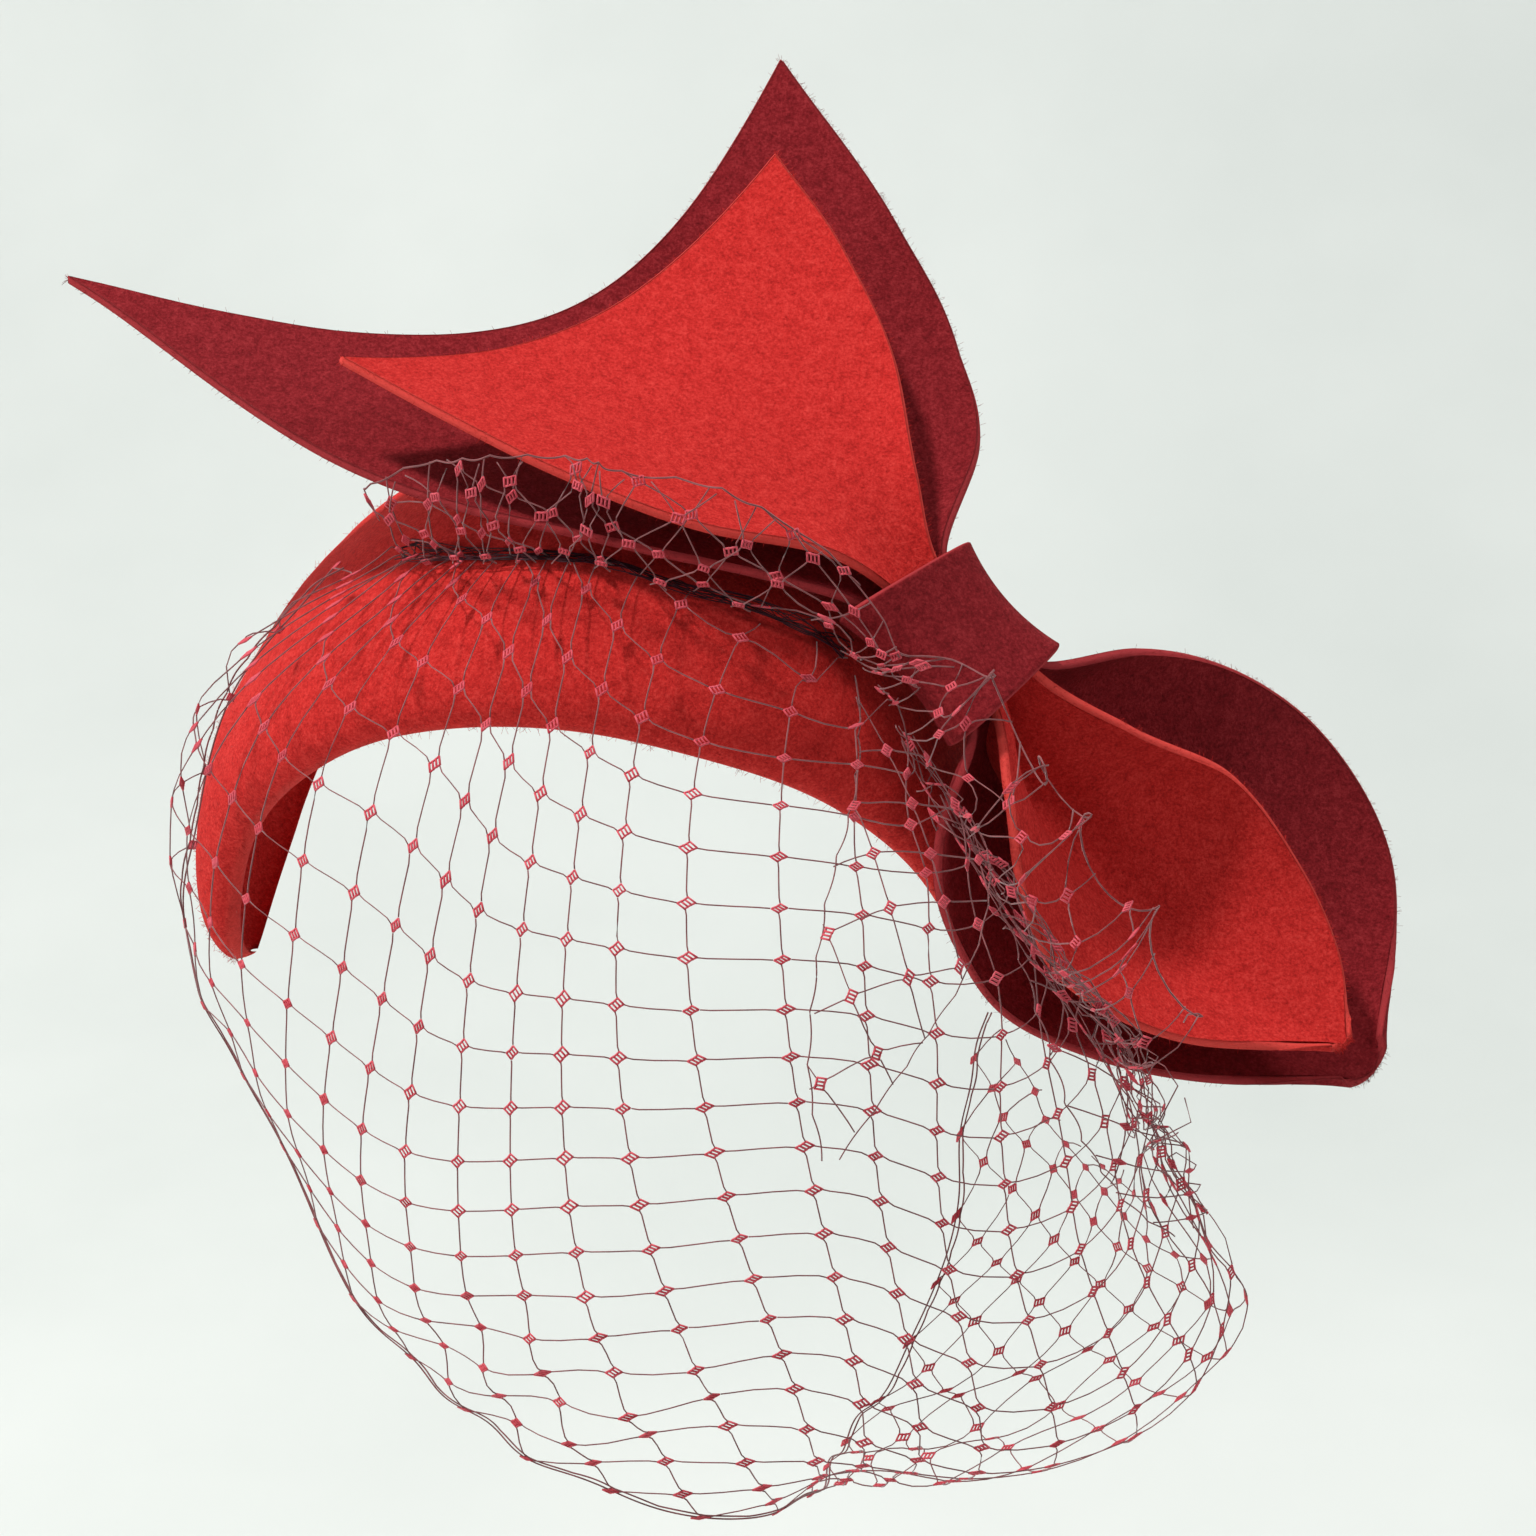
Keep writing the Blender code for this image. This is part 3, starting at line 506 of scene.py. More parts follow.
# Meshes.
def add_piece(name, points, faces, material, edge_highlight=None):
    mesh = bpy.data.meshes.new(name)
    mesh.from_pydata([tuple(map(float, p)) for p in points], [], [tuple(map(int, f)) for f in faces])
    mesh.validate()
    mesh.polygons.foreach_set("use_smooth", [True] * len(mesh.polygons))
    # The per-point mask of the painted edge highlight.
    if edge_highlight is not None:
        attribute = mesh.attributes.new("edge_highlight", "FLOAT", "POINT")
        attribute.data.foreach_set("value", np.asarray(edge_highlight, np.float32))
    mesh.materials.append(material)
    piece = bpy.data.objects.new(name, mesh)
    bpy.context.scene.collection.objects.link(piece)
    return piece


def wavy(points, scale, seed):
    """A smooth value from -1 to 1 at each point."""
    flat = points.reshape(-1, 3)
    shift = Vector((seed * 7.3, seed * 3.1, seed * 5.7))
    found = [noise.noise(Vector(p) * scale + shift) for p in flat.tolist()]
    return np.array(found).reshape(points.shape[:-1])


def felt_sheet(name, points, normals, half, material):
    """A closed sheet of felt with a softly rounded cut edge, from a grid of its middle."""
    rows, columns = points.shape[:2]
    count = rows * columns
    flat, normal = points.reshape(-1, 3), normals.reshape(-1, 3)
    index = np.arange(count).reshape(rows, columns)
    ring = np.concatenate([index[0, :-1], index[:-1, -1], index[-1, :0:-1], index[:0:-1, 0]])
    ahead = flat[np.roll(ring, -1)] - flat[np.roll(ring, 1)]
    outward = unit(np.cross(ahead, normal[ring]))
    probe = np.concatenate([index[1, :-1], index[:-1, -2], index[-2, :0:-1], index[:0:-1, 1]])
    flip = ((flat[ring] - flat[probe]) * outward).sum(1) < 0
    outward[flip] *= -1
    verts = [flat + normal * half, flat - normal * half]
    # The rim and the rounded edge get the painted highlight.
    edge_highlight = [np.zeros(2 * count)]
    edge_highlight[0][ring] = 0.45
    edge_highlight[0][ring + count] = 0.45
    faces = []
    for i in range(rows - 1):
        for j in range(columns - 1):
            a, b, c, d = index[i, j], index[i + 1, j], index[i + 1, j + 1], index[i, j + 1]
            faces.append((a, b, c, d))
            faces.append((d + count, c + count, b + count, a + count))
    before = ring
    start = 2 * count
    for k in range(1, EDGE_STEPS):
        a = math.pi / 2 - math.pi * k / EDGE_STEPS
        verts.append(flat[ring] + normal[ring] * (half * math.sin(a))
                     + outward * (half * EDGE_BULGE * math.cos(a)))
        edge_highlight.append(np.full(len(ring), 0.75 if k in (1, EDGE_STEPS - 1) else 1.0))
        level = np.arange(len(ring)) + start
        start += len(ring)
        for n in range(len(ring)):
            m = (n + 1) % len(ring)
            faces.append((before[m], before[n], level[n], level[m]))
        before = level
    for n in range(len(ring)):
        m = (n + 1) % len(ring)
        faces.append((before[m], before[n], ring[n] + count, ring[m] + count))
    return add_piece(name, np.concatenate(verts), faces, material, np.concatenate(edge_highlight))


def tubes(paths, radius, sides, name, material):
    """Thin tubes along many paths of the same number of points."""
    paths = np.asarray(paths)
    total, steps = paths.shape[:2]
    ahead = unit(np.gradient(paths, axis=1))
    helper = np.where(np.abs(ahead[..., 2:3]) < 0.9, np.array([0, 0, 1.0]), np.array([1.0, 0, 0]))
    side = unit(np.cross(ahead, helper))
    other = np.cross(ahead, side)
    radius = np.broadcast_to(np.asarray(radius, float), (total,))[:, None, None]
    rings = []
    for k in range(sides):
        a = 2 * math.pi * k / sides
        rings.append(paths + (side * math.cos(a) + other * math.sin(a)) * radius)
    verts = np.stack(rings, 2).reshape(-1, 3)
    base = (np.arange(total)[:, None] * steps + np.arange(steps - 1)[None, :]).ravel() * sides
    quads = []
    for k in range(sides):
        n = (k + 1) % sides
        quads.append(np.stack([base + k, base + n, base + sides + n, base + sides + k], -1))
    faces = np.concatenate(quads).tolist()
    corners = np.arange(sides)[None, :]
    ends = (np.arange(total) * steps * sides)[:, None]
    faces += (ends + corners[:, ::-1]).tolist()
    faces += (ends + (steps - 1) * sides + corners).tolist()
    return add_piece(name, verts, faces, material)


def fuzz(name, points, normals, count, length, material, seed):
    """Loose fibres: short bent blades that start in the felt and lie almost flat on it."""
    random = np.random.default_rng(seed)
    pick = random.integers(0, len(points), count)
    root, up = points[pick], normals[pick]
    aside = unit(np.cross(up, random.normal(size=(count, 3))))
    size = length * random.uniform(0.4, 1.0, count)[:, None]
    first = root + (aside * FIBRE_LEAN + up * 0.55) * size * 0.5 - up * 0.0001
    curl = unit(np.cross(up, aside))
    bend = curl * random.uniform(-0.6, 0.6, (count, 1))
    last = root + (aside * FIBRE_LEAN * 1.3 + up * 0.75 + bend) * size
    paths = np.stack([root - up * 0.0002, first, last], 1)
    return tubes(paths, FIBRE, 3, name, material)


# The felt base.
def make_base():
    """The domed crescent with its rounded rim and its hollow underside."""
    long_steps, wide_steps, rim_steps = 200, 64, 6
    first, last = BASE_ROWS[0][0], BASE_ROWS[-1][0]
    turn = np.linspace(0, math.pi, long_steps + 1)
    blend = 0.25 * (0.5 - 0.5 * np.cos(turn)) + 0.75 * turn / math.pi
    margin = 0.02 * BASE_END
    angles = first + margin + (last - first - 2 * margin) * blend
    shares = 0.5 - 0.5 * np.cos(np.linspace(0, math.pi, wide_steps + 1))
    angle_grid, share_grid = np.meshgrid(angles, shares, indexing="ij")
    outer = base_point(angle_grid, share_grid)
    inner = base_point(angle_grid, share_grid, BASE_FELT)
    outer[:, 0], outer[:, -1] = base_rim(angles, 1, 0.0), base_rim(angles, -1, 0.0)
    inner[:, 0], inner[:, -1] = base_rim(angles, 1, 1.0), base_rim(angles, -1, 1.0)
    out = grid_normals(outer)
    out *= np.sign((out * (outer - HEAD_MIDDLE)).sum(-1, keepdims=True))
    settle = wavy(outer, 45, 1) * 0.0005 + wavy(outer, 140, 2) * 0.00018
    outer = outer + out * settle[..., None]
    turns = [(k + 1) / rim_steps for k in range(rim_steps - 1)]
    back = [base_rim(angles, -1, t)[:, None] for t in turns]
    front = [base_rim(angles, 1, t)[:, None] for t in reversed(turns)]
    loops = np.concatenate([outer] + back + [inner[:, ::-1]] + front, axis=1)
    size = loops.shape[1]
    # lip: how much painted highlight the rim loops of the base get.
    lip = np.zeros(size)
    rim = rim_steps - 1
    lip[wide_steps + 1:wide_steps + 1 + rim] = 0.35
    lip[-rim:] = 0.35
    lip[[0, wide_steps]] = 0.2
    edge_highlight = np.broadcast_to(lip, (len(angles), size))
    faces = []
    for i in range(len(angles) - 1):
        for j in range(size):
            k = (j + 1) % size
            faces.append((i * size + k, i * size + j, (i + 1) * size + j, (i + 1) * size + k))
    for start in (0, (len(angles) - 1) * size):
        for j in range(wide_steps):
            low = start + 2 * wide_steps + 1 + rim - j
            faces.append((start + j, start + j + 1, low - 1, low))
        faces.append(tuple(start + j for j in range(wide_steps, wide_steps + rim + 2)))
        faces.append(tuple(start + j for j in range(2 * wide_steps + rim + 1, size)) + (start,))
    piece = add_piece("felt_base", loops.reshape(-1, 3), faces, bright_felt, edge_highlight.ravel())
    return piece, outer, out


def face_the_front(normals):
    """Normals turned to the side that the bow faces."""
    out = bow_axes()[2]
    return normals * np.where((normals * out).sum(-1, keepdims=True).mean() < 0, -1.0, 1.0)


def close_to_ends(count, margin):
    """Even places from 0 to 1, with one more close to each end."""
    return np.concatenate([[0], np.linspace(margin, 1 - margin, count - 2), [1]])


def tuck(u, v):
    """The pressed valley that runs down the petal from the band, and its raised far edge."""
    reach = np.clip((u - 0.50) / 0.06, 0, 1) * np.exp(-(np.clip(u - 0.62, 0, 1) / 0.19) ** 2)
    valley = np.exp(-((v - 0.50) / 0.13) ** 2)
    lip = np.clip((v - 0.70) / 0.30, 0, 1) ** 1.2
    return reach * (0.45 * lip - valley)


def make_layer(name, rows, hollow, material, seed):
    """One felt layer of the bow, from the tip of its sail to the rounded tip of its petal."""
    u, v = np.meshgrid(close_to_ends(BOW_STEPS_LONG, 0.0018), close_to_ends(BOW_STEPS_WIDE, 0.004),
                       indexing="ij")
    if rows[-1][0:3] == rows[-1][3:6]:
        u = u * 0.990
    points = bow_sheet(rows, hollow, u, v)
    normals = face_the_front(grid_normals(points))
    chord = np.linalg.norm(points[-1, -1] - points[-1, 0])
    near_tip = np.clip((u - TIP_FROM) / TIP_LONG, 0, 1)
    tip = TIP_ROUND * chord * near_tip ** 2 * np.sqrt(np.clip(4 * v * (1 - v), 0, 1))
    points = points - bow_axes()[0] * tip[..., None]
    near_waist = np.exp(-((u - 0.5) / 0.2) ** 2)
    points = points + normals * (PETAL_TUCK * tuck(u, v) * (material is bright_felt))[..., None]
    points = points + normals * (wavy(points, 40, seed) * 0.0005 * (1 - near_waist))[..., None]
    normals = face_the_front(grid_normals(points))
    return felt_sheet(name, points, normals, BOW_FELT / 2, material), points, normals


def make_band():
    """The felt tube round the waist, with rounded cut edges."""
    turns = np.arange(144) / 144
    places = np.linspace(0, 1, 41)
    turn_grid, place_grid = np.meshgrid(turns, places, indexing="ij")
    outer = band_point(turn_grid, place_grid)
    inner = band_point(turn_grid, place_grid, BAND_FELT)
    middle = (outer + inner) / 2
    out = unit(outer - inner)
    half = BAND_FELT / 2
    along = bow_axes()[0]
    loops, edge_highlight = [outer], [np.zeros(outer.shape[:2])]
    for end, sign in ((-1, -1), (0, 1)):
        level = middle[:, end]
        arc = []
        for k in range(1, 5):
            a = math.pi / 2 - math.pi * k / 5
            if end == 0:
                a = -a
            arc.append(level + out[:, end] * half * math.sin(a)
                       + along * sign * half * 0.6 * math.cos(a))
        loops.append(np.stack(arc, 1))
        # The rounded ends of the band get the painted highlight.
        edge_highlight.append(np.full((len(turns), 4), 0.9))
        if end == -1:
            loops.append(inner[:, ::-1])
            edge_highlight.append(np.zeros(inner.shape[:2]))
    loops = np.concatenate(loops, 1)
    edge_highlight = np.concatenate(edge_highlight, 1)
    size = loops.shape[1]
    faces = []
    for i in range(len(turns)):
        n = (i + 1) % len(turns)
        for j in range(size):
            k = (j + 1) % size
            faces.append((i * size + j, n * size + j, n * size + k, i * size + k))
    return add_piece("felt_band", loops.reshape(-1, 3), faces, dark_felt, edge_highlight.ravel())


base, base_outer, base_out = make_base()
outer_layer, outer_points, outer_normals = make_layer(
    "felt_bow_outer", OUTER_ROWS, OUTER_HOLLOW_END, dark_felt, 3)
inner_layer, inner_points, inner_normals = make_layer(
    "felt_bow_inner", INNER_ROWS, INNER_HOLLOW_END, bright_felt, 4)
band = make_band()


# The net.
def fold(along, u, v):
    """How far the net stands out in the pleats that its gathering makes."""
    crowd = np.interp(u, (0.0, 0.12, 0.30, 0.60, 0.78, 0.92, 1.0), (0.7, 0.6, 0.3, 0.3, 1.0, 1.3, 1.0))
    fade = np.exp(-(v / np.interp(u, (0.0, 0.5, 0.75, 1.0), (0.25, 0.16, 0.45, 0.7))) ** 2)
    rise = np.clip(v / 0.05, 0, 1)
    pleat = 0.5 + 0.5 * np.sin(2 * math.pi * along / PLEAT_EVERY + 2.2 * np.sin(along * 37))
    at_edge = np.interp(u, (0.0, 0.4, 0.55, 0.9, 1.0), (0.2, 0.4, 1.0, 1.0, 0.4))
    under = np.exp(-((v - 0.9) / 0.12) ** 2) * at_edge
    lower = 0.5 + 0.5 * np.sin(2 * math.pi * along / UNDER_EVERY + 1.7 * np.sin(along * 53 + 1))
    return PLEAT_OUT * crowd * fade * rise * pleat + UNDER_OUT * under * lower


def loosen(along, u, turn):
    """How much the net is let out of its gathering at the side, from 0 to 1."""
    wave = 0.5 + 0.5 * np.sin(2 * math.pi * along / LOOSE_EVERY + turn + 2.0 * np.sin(along * 61))
    return np.interp(u, (0.0, 0.55, 0.68, 1.0), (0.0, 0.0, 1.0, 1.0)) * wave


def on_veil(along, away):
    """Where a flat place of the net lies on the veil, and whether it is within the cut."""
    u, v, off = find_on_grid(FLAT, along, away)
    v = v + 0.045 * loosen(along, u, 0.0) * np.exp(-(v / 0.09) ** 2)
    points = on_grid(VEIL, u, v) + unit(on_grid(VEIL_OUT, u, v)) * fold(along, u, v)[:, None]
    return points, off < CUT_MISS


# The ruffle: the same net, carried on past the gather line and trimmed.
def ruffle_flat():
    """Flat place of each point of the ruffle's grid: as the veil's, less full at the side."""
    steps = np.diff(FLAT[:, 0], axis=0)
    real = np.linalg.norm(np.diff(VEIL[:, 0], axis=0), axis=1)
    most = real * RUFFLE_FULL
    long = np.linalg.norm(steps, axis=1)
    steps = steps * np.minimum(1, most / long)[:, None]
    line = FLAT[0, 0] + np.concatenate([[[0, 0]], np.cumsum(steps, axis=0)])
    ahead = unit(np.gradient(line, axis=0))
    away = np.stack([-ahead[:, 1], ahead[:, 0]], -1)
    for _ in range(24):
        away[1:-1] = (away[:-2] + away[1:-1] + away[2:]) / 3
        away = unit(away)
    level = np.linspace(0, 1, GRID_DOWN)[None, :, None]
    return line[:, None] + away[:, None] * level * RUFFLE_NET


def ruffle_grid():
    """Place of each point of the ruffle's grid, with the flutes of its fullness."""
    u, level = np.meshgrid(np.linspace(0, 1, GRID_LONG), np.linspace(0, 1, GRID_DOWN), indexing="ij")
    points = ruffle_point(u, level)
    ahead = unit(np.gradient(points, axis=0))
    out = grid_normals(points)
    out = out * np.where((out * np.array([0, -1.0, 0.3])).sum(-1, keepdims=True) < 0, -1.0, 1.0)
    run = run_along(RUFFLE_FLAT[:, 0])[:, None]
    full = np.interp(u, (0.0, 0.12, 0.35, 0.62, 0.75, 0.9, 1.0), (1.0, 0.7, 0.5, 0.8, 1.5, 1.7, 1.4))
    phase = 2 * math.pi * run / FLUTE_EVERY + 1.3 * np.sin(run * 43 + 0.8)
    size = level ** 0.8 * full
    points = points + out * (FLUTE_OUT * size * (0.5 + 0.5 * np.sin(phase)))[..., None]
    points = points + ahead * (FLUTE_SIDE * size * np.cos(phase))[..., None]
    spread = np.interp(u, (0.0, 0.58, 0.72, 1.0), (0.0, 0.0, 1.0, 1.0))
    points = points + np.array(SIDE_RUFFLE) * (spread * level)[..., None]
    points[..., 2] += 0.0016 * size * np.sin(phase * 0.6 + 1.0)
    return points


RUFFLE_FLAT = ruffle_flat()
RUFFLE = ruffle_grid()


def on_ruffle(along, away):
    u, level, off = find_on_grid(RUFFLE_FLAT, along, away)
    level = level + 0.30 * loosen(along, u, 2.0) * np.exp(-(level / 0.45) ** 2)
    return on_grid(RUFFLE, u, level), off < CUT_MISS


# Pleats that lie over the net, from the gather line down: place along the gather and down
# the veil of the pleat's near fold and of its far one, and how far it stands off.
FACE_PLEAT = (
    (0.70, 0.06, 0.85, 0.05, 0.0020),
    (0.66, 0.20, 0.77, 0.18, 0.0040),
    (0.63, 0.32, 0.73, 0.27, 0.0050),
    (0.62, 0.42, 0.69, 0.38, 0.0045),
    (0.62, 0.50, 0.67, 0.45, 0.0035),
    (0.63, 0.58, 0.64, 0.57, 0.0008),
)
SIDE_PLEAT = (
    (0.80, 0.02, 0.96, 0.01, 0.0020),
    (0.78, 0.14, 0.96, 0.10, 0.0050),
    (0.77, 0.27, 0.96, 0.22, 0.0065),
    (0.78, 0.37, 0.95, 0.34, 0.0060),
    (0.81, 0.44, 0.94, 0.44, 0.0040),
    (0.85, 0.50, 0.90, 0.50, 0.0015),
)


class Pleat:
    """A flat patch of net that lies over the veil between two folds."""

    def __init__(self, table, turn):
        self.rows = np.array(table)
        near = on_grid(VEIL, self.rows[:, 0], self.rows[:, 1])
        far = on_grid(VEIL, self.rows[:, 2], self.rows[:, 3])
        self.down = run_along(near)
        self.wide = np.linalg.norm(far - near, axis=1) * 1.05
        self.cos, self.sin = math.cos(math.radians(turn)), math.sin(math.radians(turn))

    def where(self, along, away):
        x = along * self.cos - away * self.sin
        y = along * self.sin + away * self.cos
        value = spline(self.down, self.rows, y)
        wide = spline(self.down, self.wide, y)
        s = np.clip(x / wide, 0, 1)
        u = value[:, 0] + (value[:, 2] - value[:, 0]) * s
        v = value[:, 1] + (value[:, 3] - value[:, 1]) * s
        lift = value[:, 4] * np.sqrt(s * (1.25 - s) / 0.39) + 0.0006
        points = on_grid(VEIL, u, v) + unit(on_grid(VEIL_OUT, u, v)) * lift[:, None]
        return points, (x > 0) & (x < wide) & (y > 0) & (y < self.down[-1])

    def folds(self):
        """The threads that lie along the two folds."""
        y = np.linspace(0.0002, self.down[-1] - 0.0002, 161)
        lines = []
        for share in (0.0, 1.0):
            inward = 0.0001 + 0.0005 * np.abs(np.sin(math.pi * y / (NET_SIDE * 0.8)))
            x = inward if share == 0 else spline(self.down, self.wide, y) - inward
            line = self.where(x * self.cos + y * self.sin, y * self.cos - x * self.sin)[0]
            lines += [line[k:k + 5] for k in range(0, 160, 4)]
        return np.array(lines)


def on_ruffle_front(along, away):
    """A second layer of the ruffle, laid over the first by its flutes."""
    turn = math.radians(FRONT_TURN)
    x = along * math.cos(turn) + away * math.sin(turn)
    y = away * math.cos(turn) - along * math.sin(turn)
    points, inside = on_ruffle(x, y)
    return points + np.array(FRONT_SHIFT), inside & (x < FRONT_REACH)


def thread_paths(nodes, where):
    """Threads between neighbouring knots, from corner to corner, cut off where the net ends."""
    places = nodes * NET_STEP
    centres, inside = where(places[:, 0], places[:, 1])
    e = 0.0007
    one = where(places[:, 0] + e, places[:, 1])[0] - where(places[:, 0] - e, places[:, 1])[0]
    two = where(places[:, 0], places[:, 1] + e)[0] - where(places[:, 0], places[:, 1] - e)[0]
    one, two = unit(one), unit(two)
    index = {tuple(n): k for k, n in enumerate(nodes.astype(int).tolist())}
    pairs = [(k, index[(n[0] + 1, n[1] + s)], s) for n, k in index.items() for s in (1, -1)
             if (n[0] + 1, n[1] + s) in index]
    a, b, s = np.array(pairs).T
    touch = inside[a] | inside[b]
    a, b, s = a[touch], b[touch], s[touch]
    t = np.linspace(0, 1, THREAD_TESTS)
    flat = places[a][:, None] * (1 - t[None, :, None]) + places[b][:, None] * t[None, :, None]
    ok = where(flat[..., 0].ravel(), flat[..., 1].ravel())[1].reshape(len(a), THREAD_TESTS)
    end = THREAD_TESTS - 1
    first = np.where(inside[a], 0, end - np.argmin(ok[:, ::-1], 1) + 1) / end
    last = np.where(inside[b], end, np.argmin(ok, 1) - 1) / end
    good = last - first > STUB
    a, b, s, first, last = a[good], b[good], s[good], first[good], last[good]
    t = first[:, None] + (last - first)[:, None] * np.array([0, 0.22, 0.5, 0.78, 1.0])
    flat = places[a][:, None] * (1 - t[..., None]) + places[b][:, None] * t[..., None]
    paths = where(flat[..., 0].ravel(), flat[..., 1].ravel())[0].reshape(len(a), 5, 3)
    long = np.linalg.norm(np.diff(paths, axis=1), axis=2).sum(1)
    keep = long > CRUSHED * np.linalg.norm(flat[:, -1] - flat[:, 0], axis=1)
    paths, a, b, s = paths[keep], a[keep], b[keep], s[keep]
    corner_a = centres[a] + one[a] * KNOT_WIDE + two[a] * (s * KNOT_HIGH)[:, None]
    corner_b = centres[b] - one[b] * KNOT_WIDE - two[b] * (s * KNOT_HIGH)[:, None]
    paths[inside[a], 0] = corner_a[inside[a]]
    paths[inside[b], -1] = corner_b[inside[b]]
    return paths, centres[inside], one[inside], two[inside]


def knot_bars(centres, one, two, seed):
    """Each knot: a few short bars side by side between two rails."""
    random = np.random.default_rng(seed)
    grow = random.uniform(0.9, 1.12, (len(centres), 1))
    bars = []
    for k in range(KNOT_BARS):
        middle = centres + two * (KNOT_HIGH * (2 * k / (KNOT_BARS - 1) - 1)) * grow
        half = one * KNOT_WIDE * grow
        bars.append(np.stack([middle - half, middle, middle + half], 1))
    for side in (-1, 1):
        middle = centres + one * (side * KNOT_WIDE * 0.9) * grow
        half = two * KNOT_HIGH * grow
        bars.append(np.stack([middle - half, middle - one * (side * 0.00012), middle + half], 1))
    return np.concatenate(bars)


def lattice(first, last, low, high):
    nodes = [(i, j) for i in range(first, last + 1) for j in range(low, high + 1) if (i + j) % 2 == 0]
    return np.array(nodes, float)


def make_net(name, nodes, where, seed, extra=()):
    """The threads and the knots of one layer of net, which where() carries to its shape."""
    paths, centres, one, two = thread_paths(nodes, where)
    threads = tubes(np.concatenate([paths] + list(extra)), THREAD, 4, name + "_threads", net_thread)
    knots = tubes(knot_bars(centres, one, two, seed), KNOT_BAR, 4, name + "_knots", net_knot)
    return threads, knots


def make_selvage():
    """The doubled thread along the free edge, and the plain one along the trimmed top."""
    along = np.linspace(0.001, EDGE_RUN[-1] - 0.001, SELVAGE_STEPS)
    lines = []
    for height, wave in ((0.0001, 0.0), (0.0013, 0.0004)):
        lines.append(on_veil(along, height + wave * np.abs(np.sin(math.pi * along / NET_STEP)))[0])
    u = np.linspace(0, 1, SELVAGE_STEPS)
    scallop = 1 - 0.025 * np.abs(np.sin(math.pi * u * SCALLOPS))
    lines.append(on_grid(RUFFLE, u, scallop))
    return tubes(np.array(lines), THREAD * 1.25, 4, "veil_selvage", net_thread)


def make_gather():
    """The net drawn together along the gather line: strands that lie close, and its stitching,
    coloured near-black as painted shade of the gap between base and bow.
    """
    random = np.random.default_rng(5)
    u = np.linspace(0.0, GATHER_END, 220)
    line = veil_section(u)[:, 0]
    ahead = unit(np.gradient(line, axis=0))
    out = unit(line - HEAD_MIDDLE)
    side = unit(np.cross(ahead, out))
    run = run_along(line)
    width = np.interp(u, (0.0, 0.2, 0.5, 0.62, GATHER_END), (0.0040, 0.0020, 0.0014, 0.0022, 0.0045))
    paths = []
    for _ in range(GATHER_STRANDS):
        far = random.uniform(0.2, 1.0)
        turn = random.uniform(0, 6.28) + run / random.uniform(0.008, 0.022)
        turn = turn + random.uniform(0.5, 1.5) * np.sin(run * random.uniform(120, 400))
        rise = width * far * (0.28 + 0.22 * np.sin(turn))
        paths.append(line + side * (width * far * np.cos(turn))[:, None] + out * rise[:, None])
    return tubes(np.array(paths), STRAND, 4, "gather_strands", gather_shade_thread)


all_nodes = lattice(-5, 58, -1, 30)
veil_net, veil_knots = make_net("veil", all_nodes[all_nodes[:, 1] >= 0], on_veil, 12)
ruffle_net, ruffle_knots = make_net("ruffle", all_nodes, on_ruffle, 13)
front_net, front_knots = make_net("ruffle_front", all_nodes, on_ruffle_front, 16)
face_pleat, side_pleat = Pleat(FACE_PLEAT, 17), Pleat(SIDE_PLEAT, -24)
pleat_nodes = lattice(-12, 16, -12, 16)
face_net, face_knots = make_net("face_pleat", pleat_nodes, face_pleat.where, 14, [face_pleat.folds()])
side_net, side_knots = make_net("side_pleat", pleat_nodes, side_pleat.where, 15, [side_pleat.folds()])
selvage = make_selvage()
gather = make_gather()

# Loose fibres on the felt.
rim_cells = np.concatenate([base_outer[:, 0], base_outer[:, -1]])
rim_out = np.concatenate([base_out[:, 1], base_out[:, -2]])
base_fuzz = fuzz("base_fuzz",
                 np.concatenate([base_outer.reshape(-1, 3)] + [rim_cells] * BASE_EDGE_SHARE),
                 np.concatenate([base_out.reshape(-1, 3)] + [rim_out] * BASE_EDGE_SHARE),
                 BASE_FIBRES, BASE_FIBRE, bright_felt, 41)


def layer_fuzz(name, points, normals, material, seed):
    """Fibres on one layer of the bow, most of them round its cut edges."""
    rings, ups = [points.reshape(-1, 3)], [normals.reshape(-1, 3)]
    for edge, inward in ((points[0], points[2]), (points[-1], points[-3]),
                         (points[:, 0], points[:, 2]), (points[:, -1], points[:, -3])):
        for _ in range(BOW_EDGE_SHARE):
            rings.append(edge)
            ups.append(unit(edge - inward))
    return fuzz(name, np.concatenate(rings), np.concatenate(ups),
                BOW_FIBRES, BOW_FIBRE, material, seed)


outer_fuzz = layer_fuzz("bow_outer_fuzz", outer_points, outer_normals, dark_felt, 42)
inner_fuzz = layer_fuzz("bow_inner_fuzz", inner_points, inner_normals, bright_felt, 43)

for piece, node, slot in (
        (base, "hat_base", "felt_bright_red"), (base_fuzz, None, "felt_bright_red"),
        (outer_layer, "bow_outer", "felt_dark_red"), (outer_fuzz, None, "felt_dark_red"),
        (inner_layer, "bow_inner", "felt_bright_red"), (inner_fuzz, None, "felt_bright_red"),
        (band, "bow_band", "felt_dark_red"),
        (veil_net, "veil", "net_dusty_red"), (veil_knots, None, "net_dusty_red"),
        (ruffle_net, None, "net_dusty_red"), (ruffle_knots, None, "net_dusty_red"),
        (front_net, None, "net_dusty_red"), (front_knots, None, "net_dusty_red"),
        (face_net, None, "net_dusty_red"), (face_knots, None, "net_dusty_red"),
        (side_net, None, "net_dusty_red"), (side_knots, None, "net_dusty_red"),
        (selvage, None, "net_dusty_red"), (gather, None, "net_dusty_red")):
    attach(piece, "root")
    if node:
        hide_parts(node)


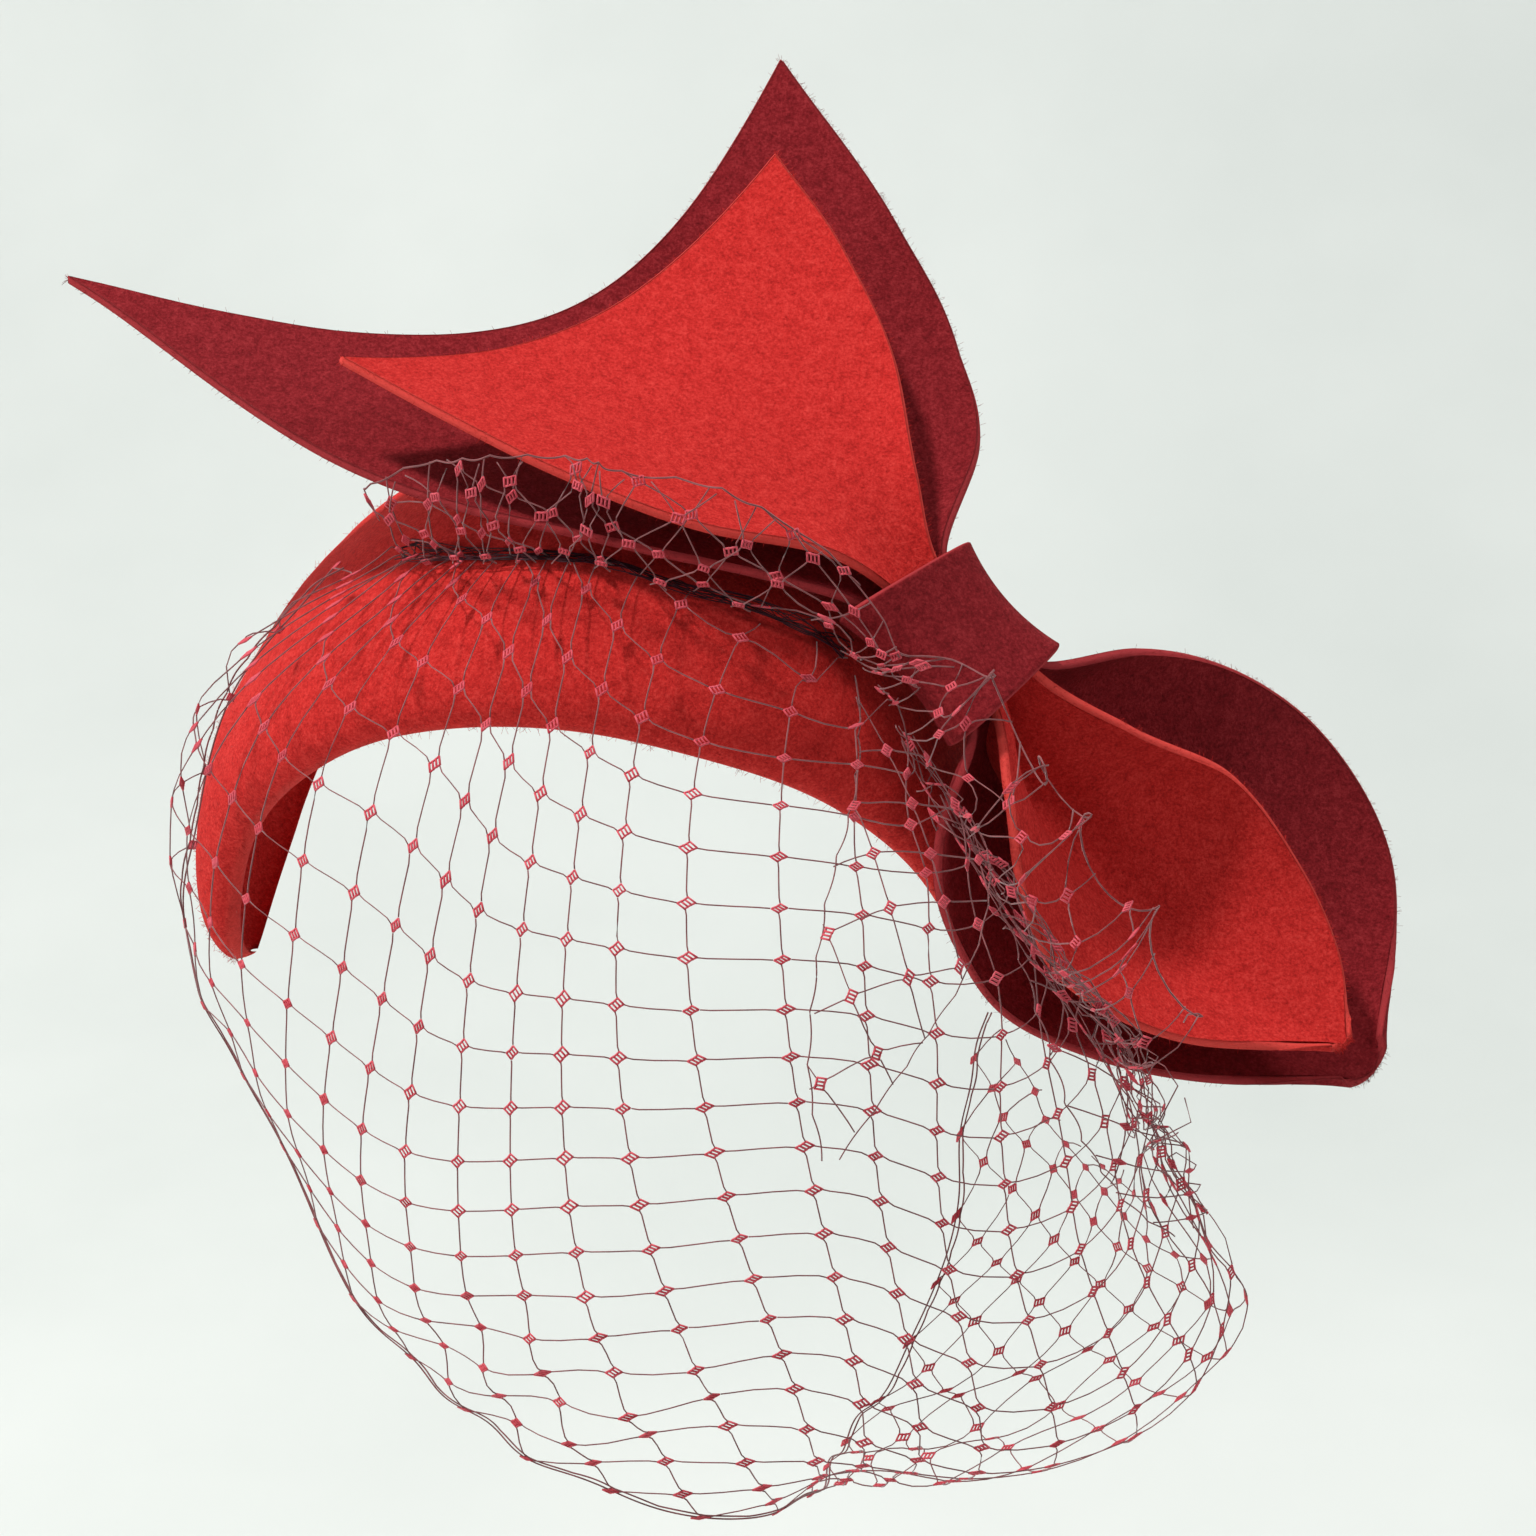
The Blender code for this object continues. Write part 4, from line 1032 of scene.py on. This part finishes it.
# Floor, backdrop, lights and camera.
def make_stage():
    """A floor that bends up into a wall."""
    bend = np.linspace(0.1, math.pi / 2, BEND_STEPS)
    depth = [BEND_FROM + BEND * math.sin(a) for a in bend]
    height = [BEND * (1 - math.cos(a)) for a in bend]
    depth = [FLOOR_FRONT, BEND_FROM] + depth + [BEND_FROM + BEND]
    height = [0.0, 0.0] + height + [WALL_TOP]
    sides = np.linspace(-FLOOR_HALF_WIDTH, FLOOR_HALF_WIDTH, FLOOR_CELLS + 1)
    points = [(x, y, z + FLOOR_LEVEL) for y, z in zip(depth, height) for x in sides]
    row = FLOOR_CELLS + 1
    faces = [(i * row + j, i * row + j + 1, (i + 1) * row + j + 1, (i + 1) * row + j)
             for i in range(len(depth) - 1) for j in range(FLOOR_CELLS)]
    material, nodes, links, shader = new_material("backdrop")
    place = nodes.new("ShaderNodeTexCoord").outputs["Object"]
    soft = add_noise(nodes, links, place, 3.0, 4, 0.55)
    links.new(add_ramp(nodes, links, soft, ((0.3, (0.70, 0.735, 0.715)), (0.7, (0.78, 0.81, 0.79)))),
              shader.inputs["Base Color"])
    shader.inputs["Roughness"].default_value = 0.9
    shader.inputs["Specular IOR Level"].default_value = 0.2
    sweep = add_piece("floor_sweep", points, faces, material)


def add_light(name, place, aim, size, power, colour):
    light = bpy.data.lights.new(name, "AREA")
    light.shape = "DISK"
    light.size = size
    light.energy = power
    light.color = colour
    item = bpy.data.objects.new(name, light)
    item.location = place
    item.rotation_mode = "QUATERNION"
    item.rotation_quaternion = (Vector(aim) - Vector(place)).to_track_quat("-Z", "Y")
    bpy.context.scene.collection.objects.link(item)


def add_camera():
    place, aim = Vector(CAMERA_PLACE), Vector(CAMERA_AIM)
    data = bpy.data.cameras.new("camera")
    data.sensor_width = 36.0
    data.lens = CAMERA_LENS
    data.clip_start, data.clip_end = 0.02, 20.0
    camera = bpy.data.objects.new("camera", data)
    level = (aim - place).to_track_quat("-Z", "Y").to_matrix().to_4x4()
    rolled = Matrix.Rotation(math.radians(CAMERA_ROLL), 4, "Z")
    camera.matrix_world = Matrix.Translation(place) @ level @ rolled
    bpy.context.scene.collection.objects.link(camera)
    bpy.context.scene.camera = camera


make_stage()
for row in LIGHTS:
    add_light(*row)
world = bpy.data.worlds.new("world")
world.use_nodes = True
world.node_tree.nodes["Background"].inputs["Color"].default_value = WORLD_COLOUR
world.node_tree.nodes["Background"].inputs["Strength"].default_value = WORLD_STRENGTH
bpy.context.scene.view_settings.view_transform = "Standard"
bpy.context.scene.world = world
add_camera()
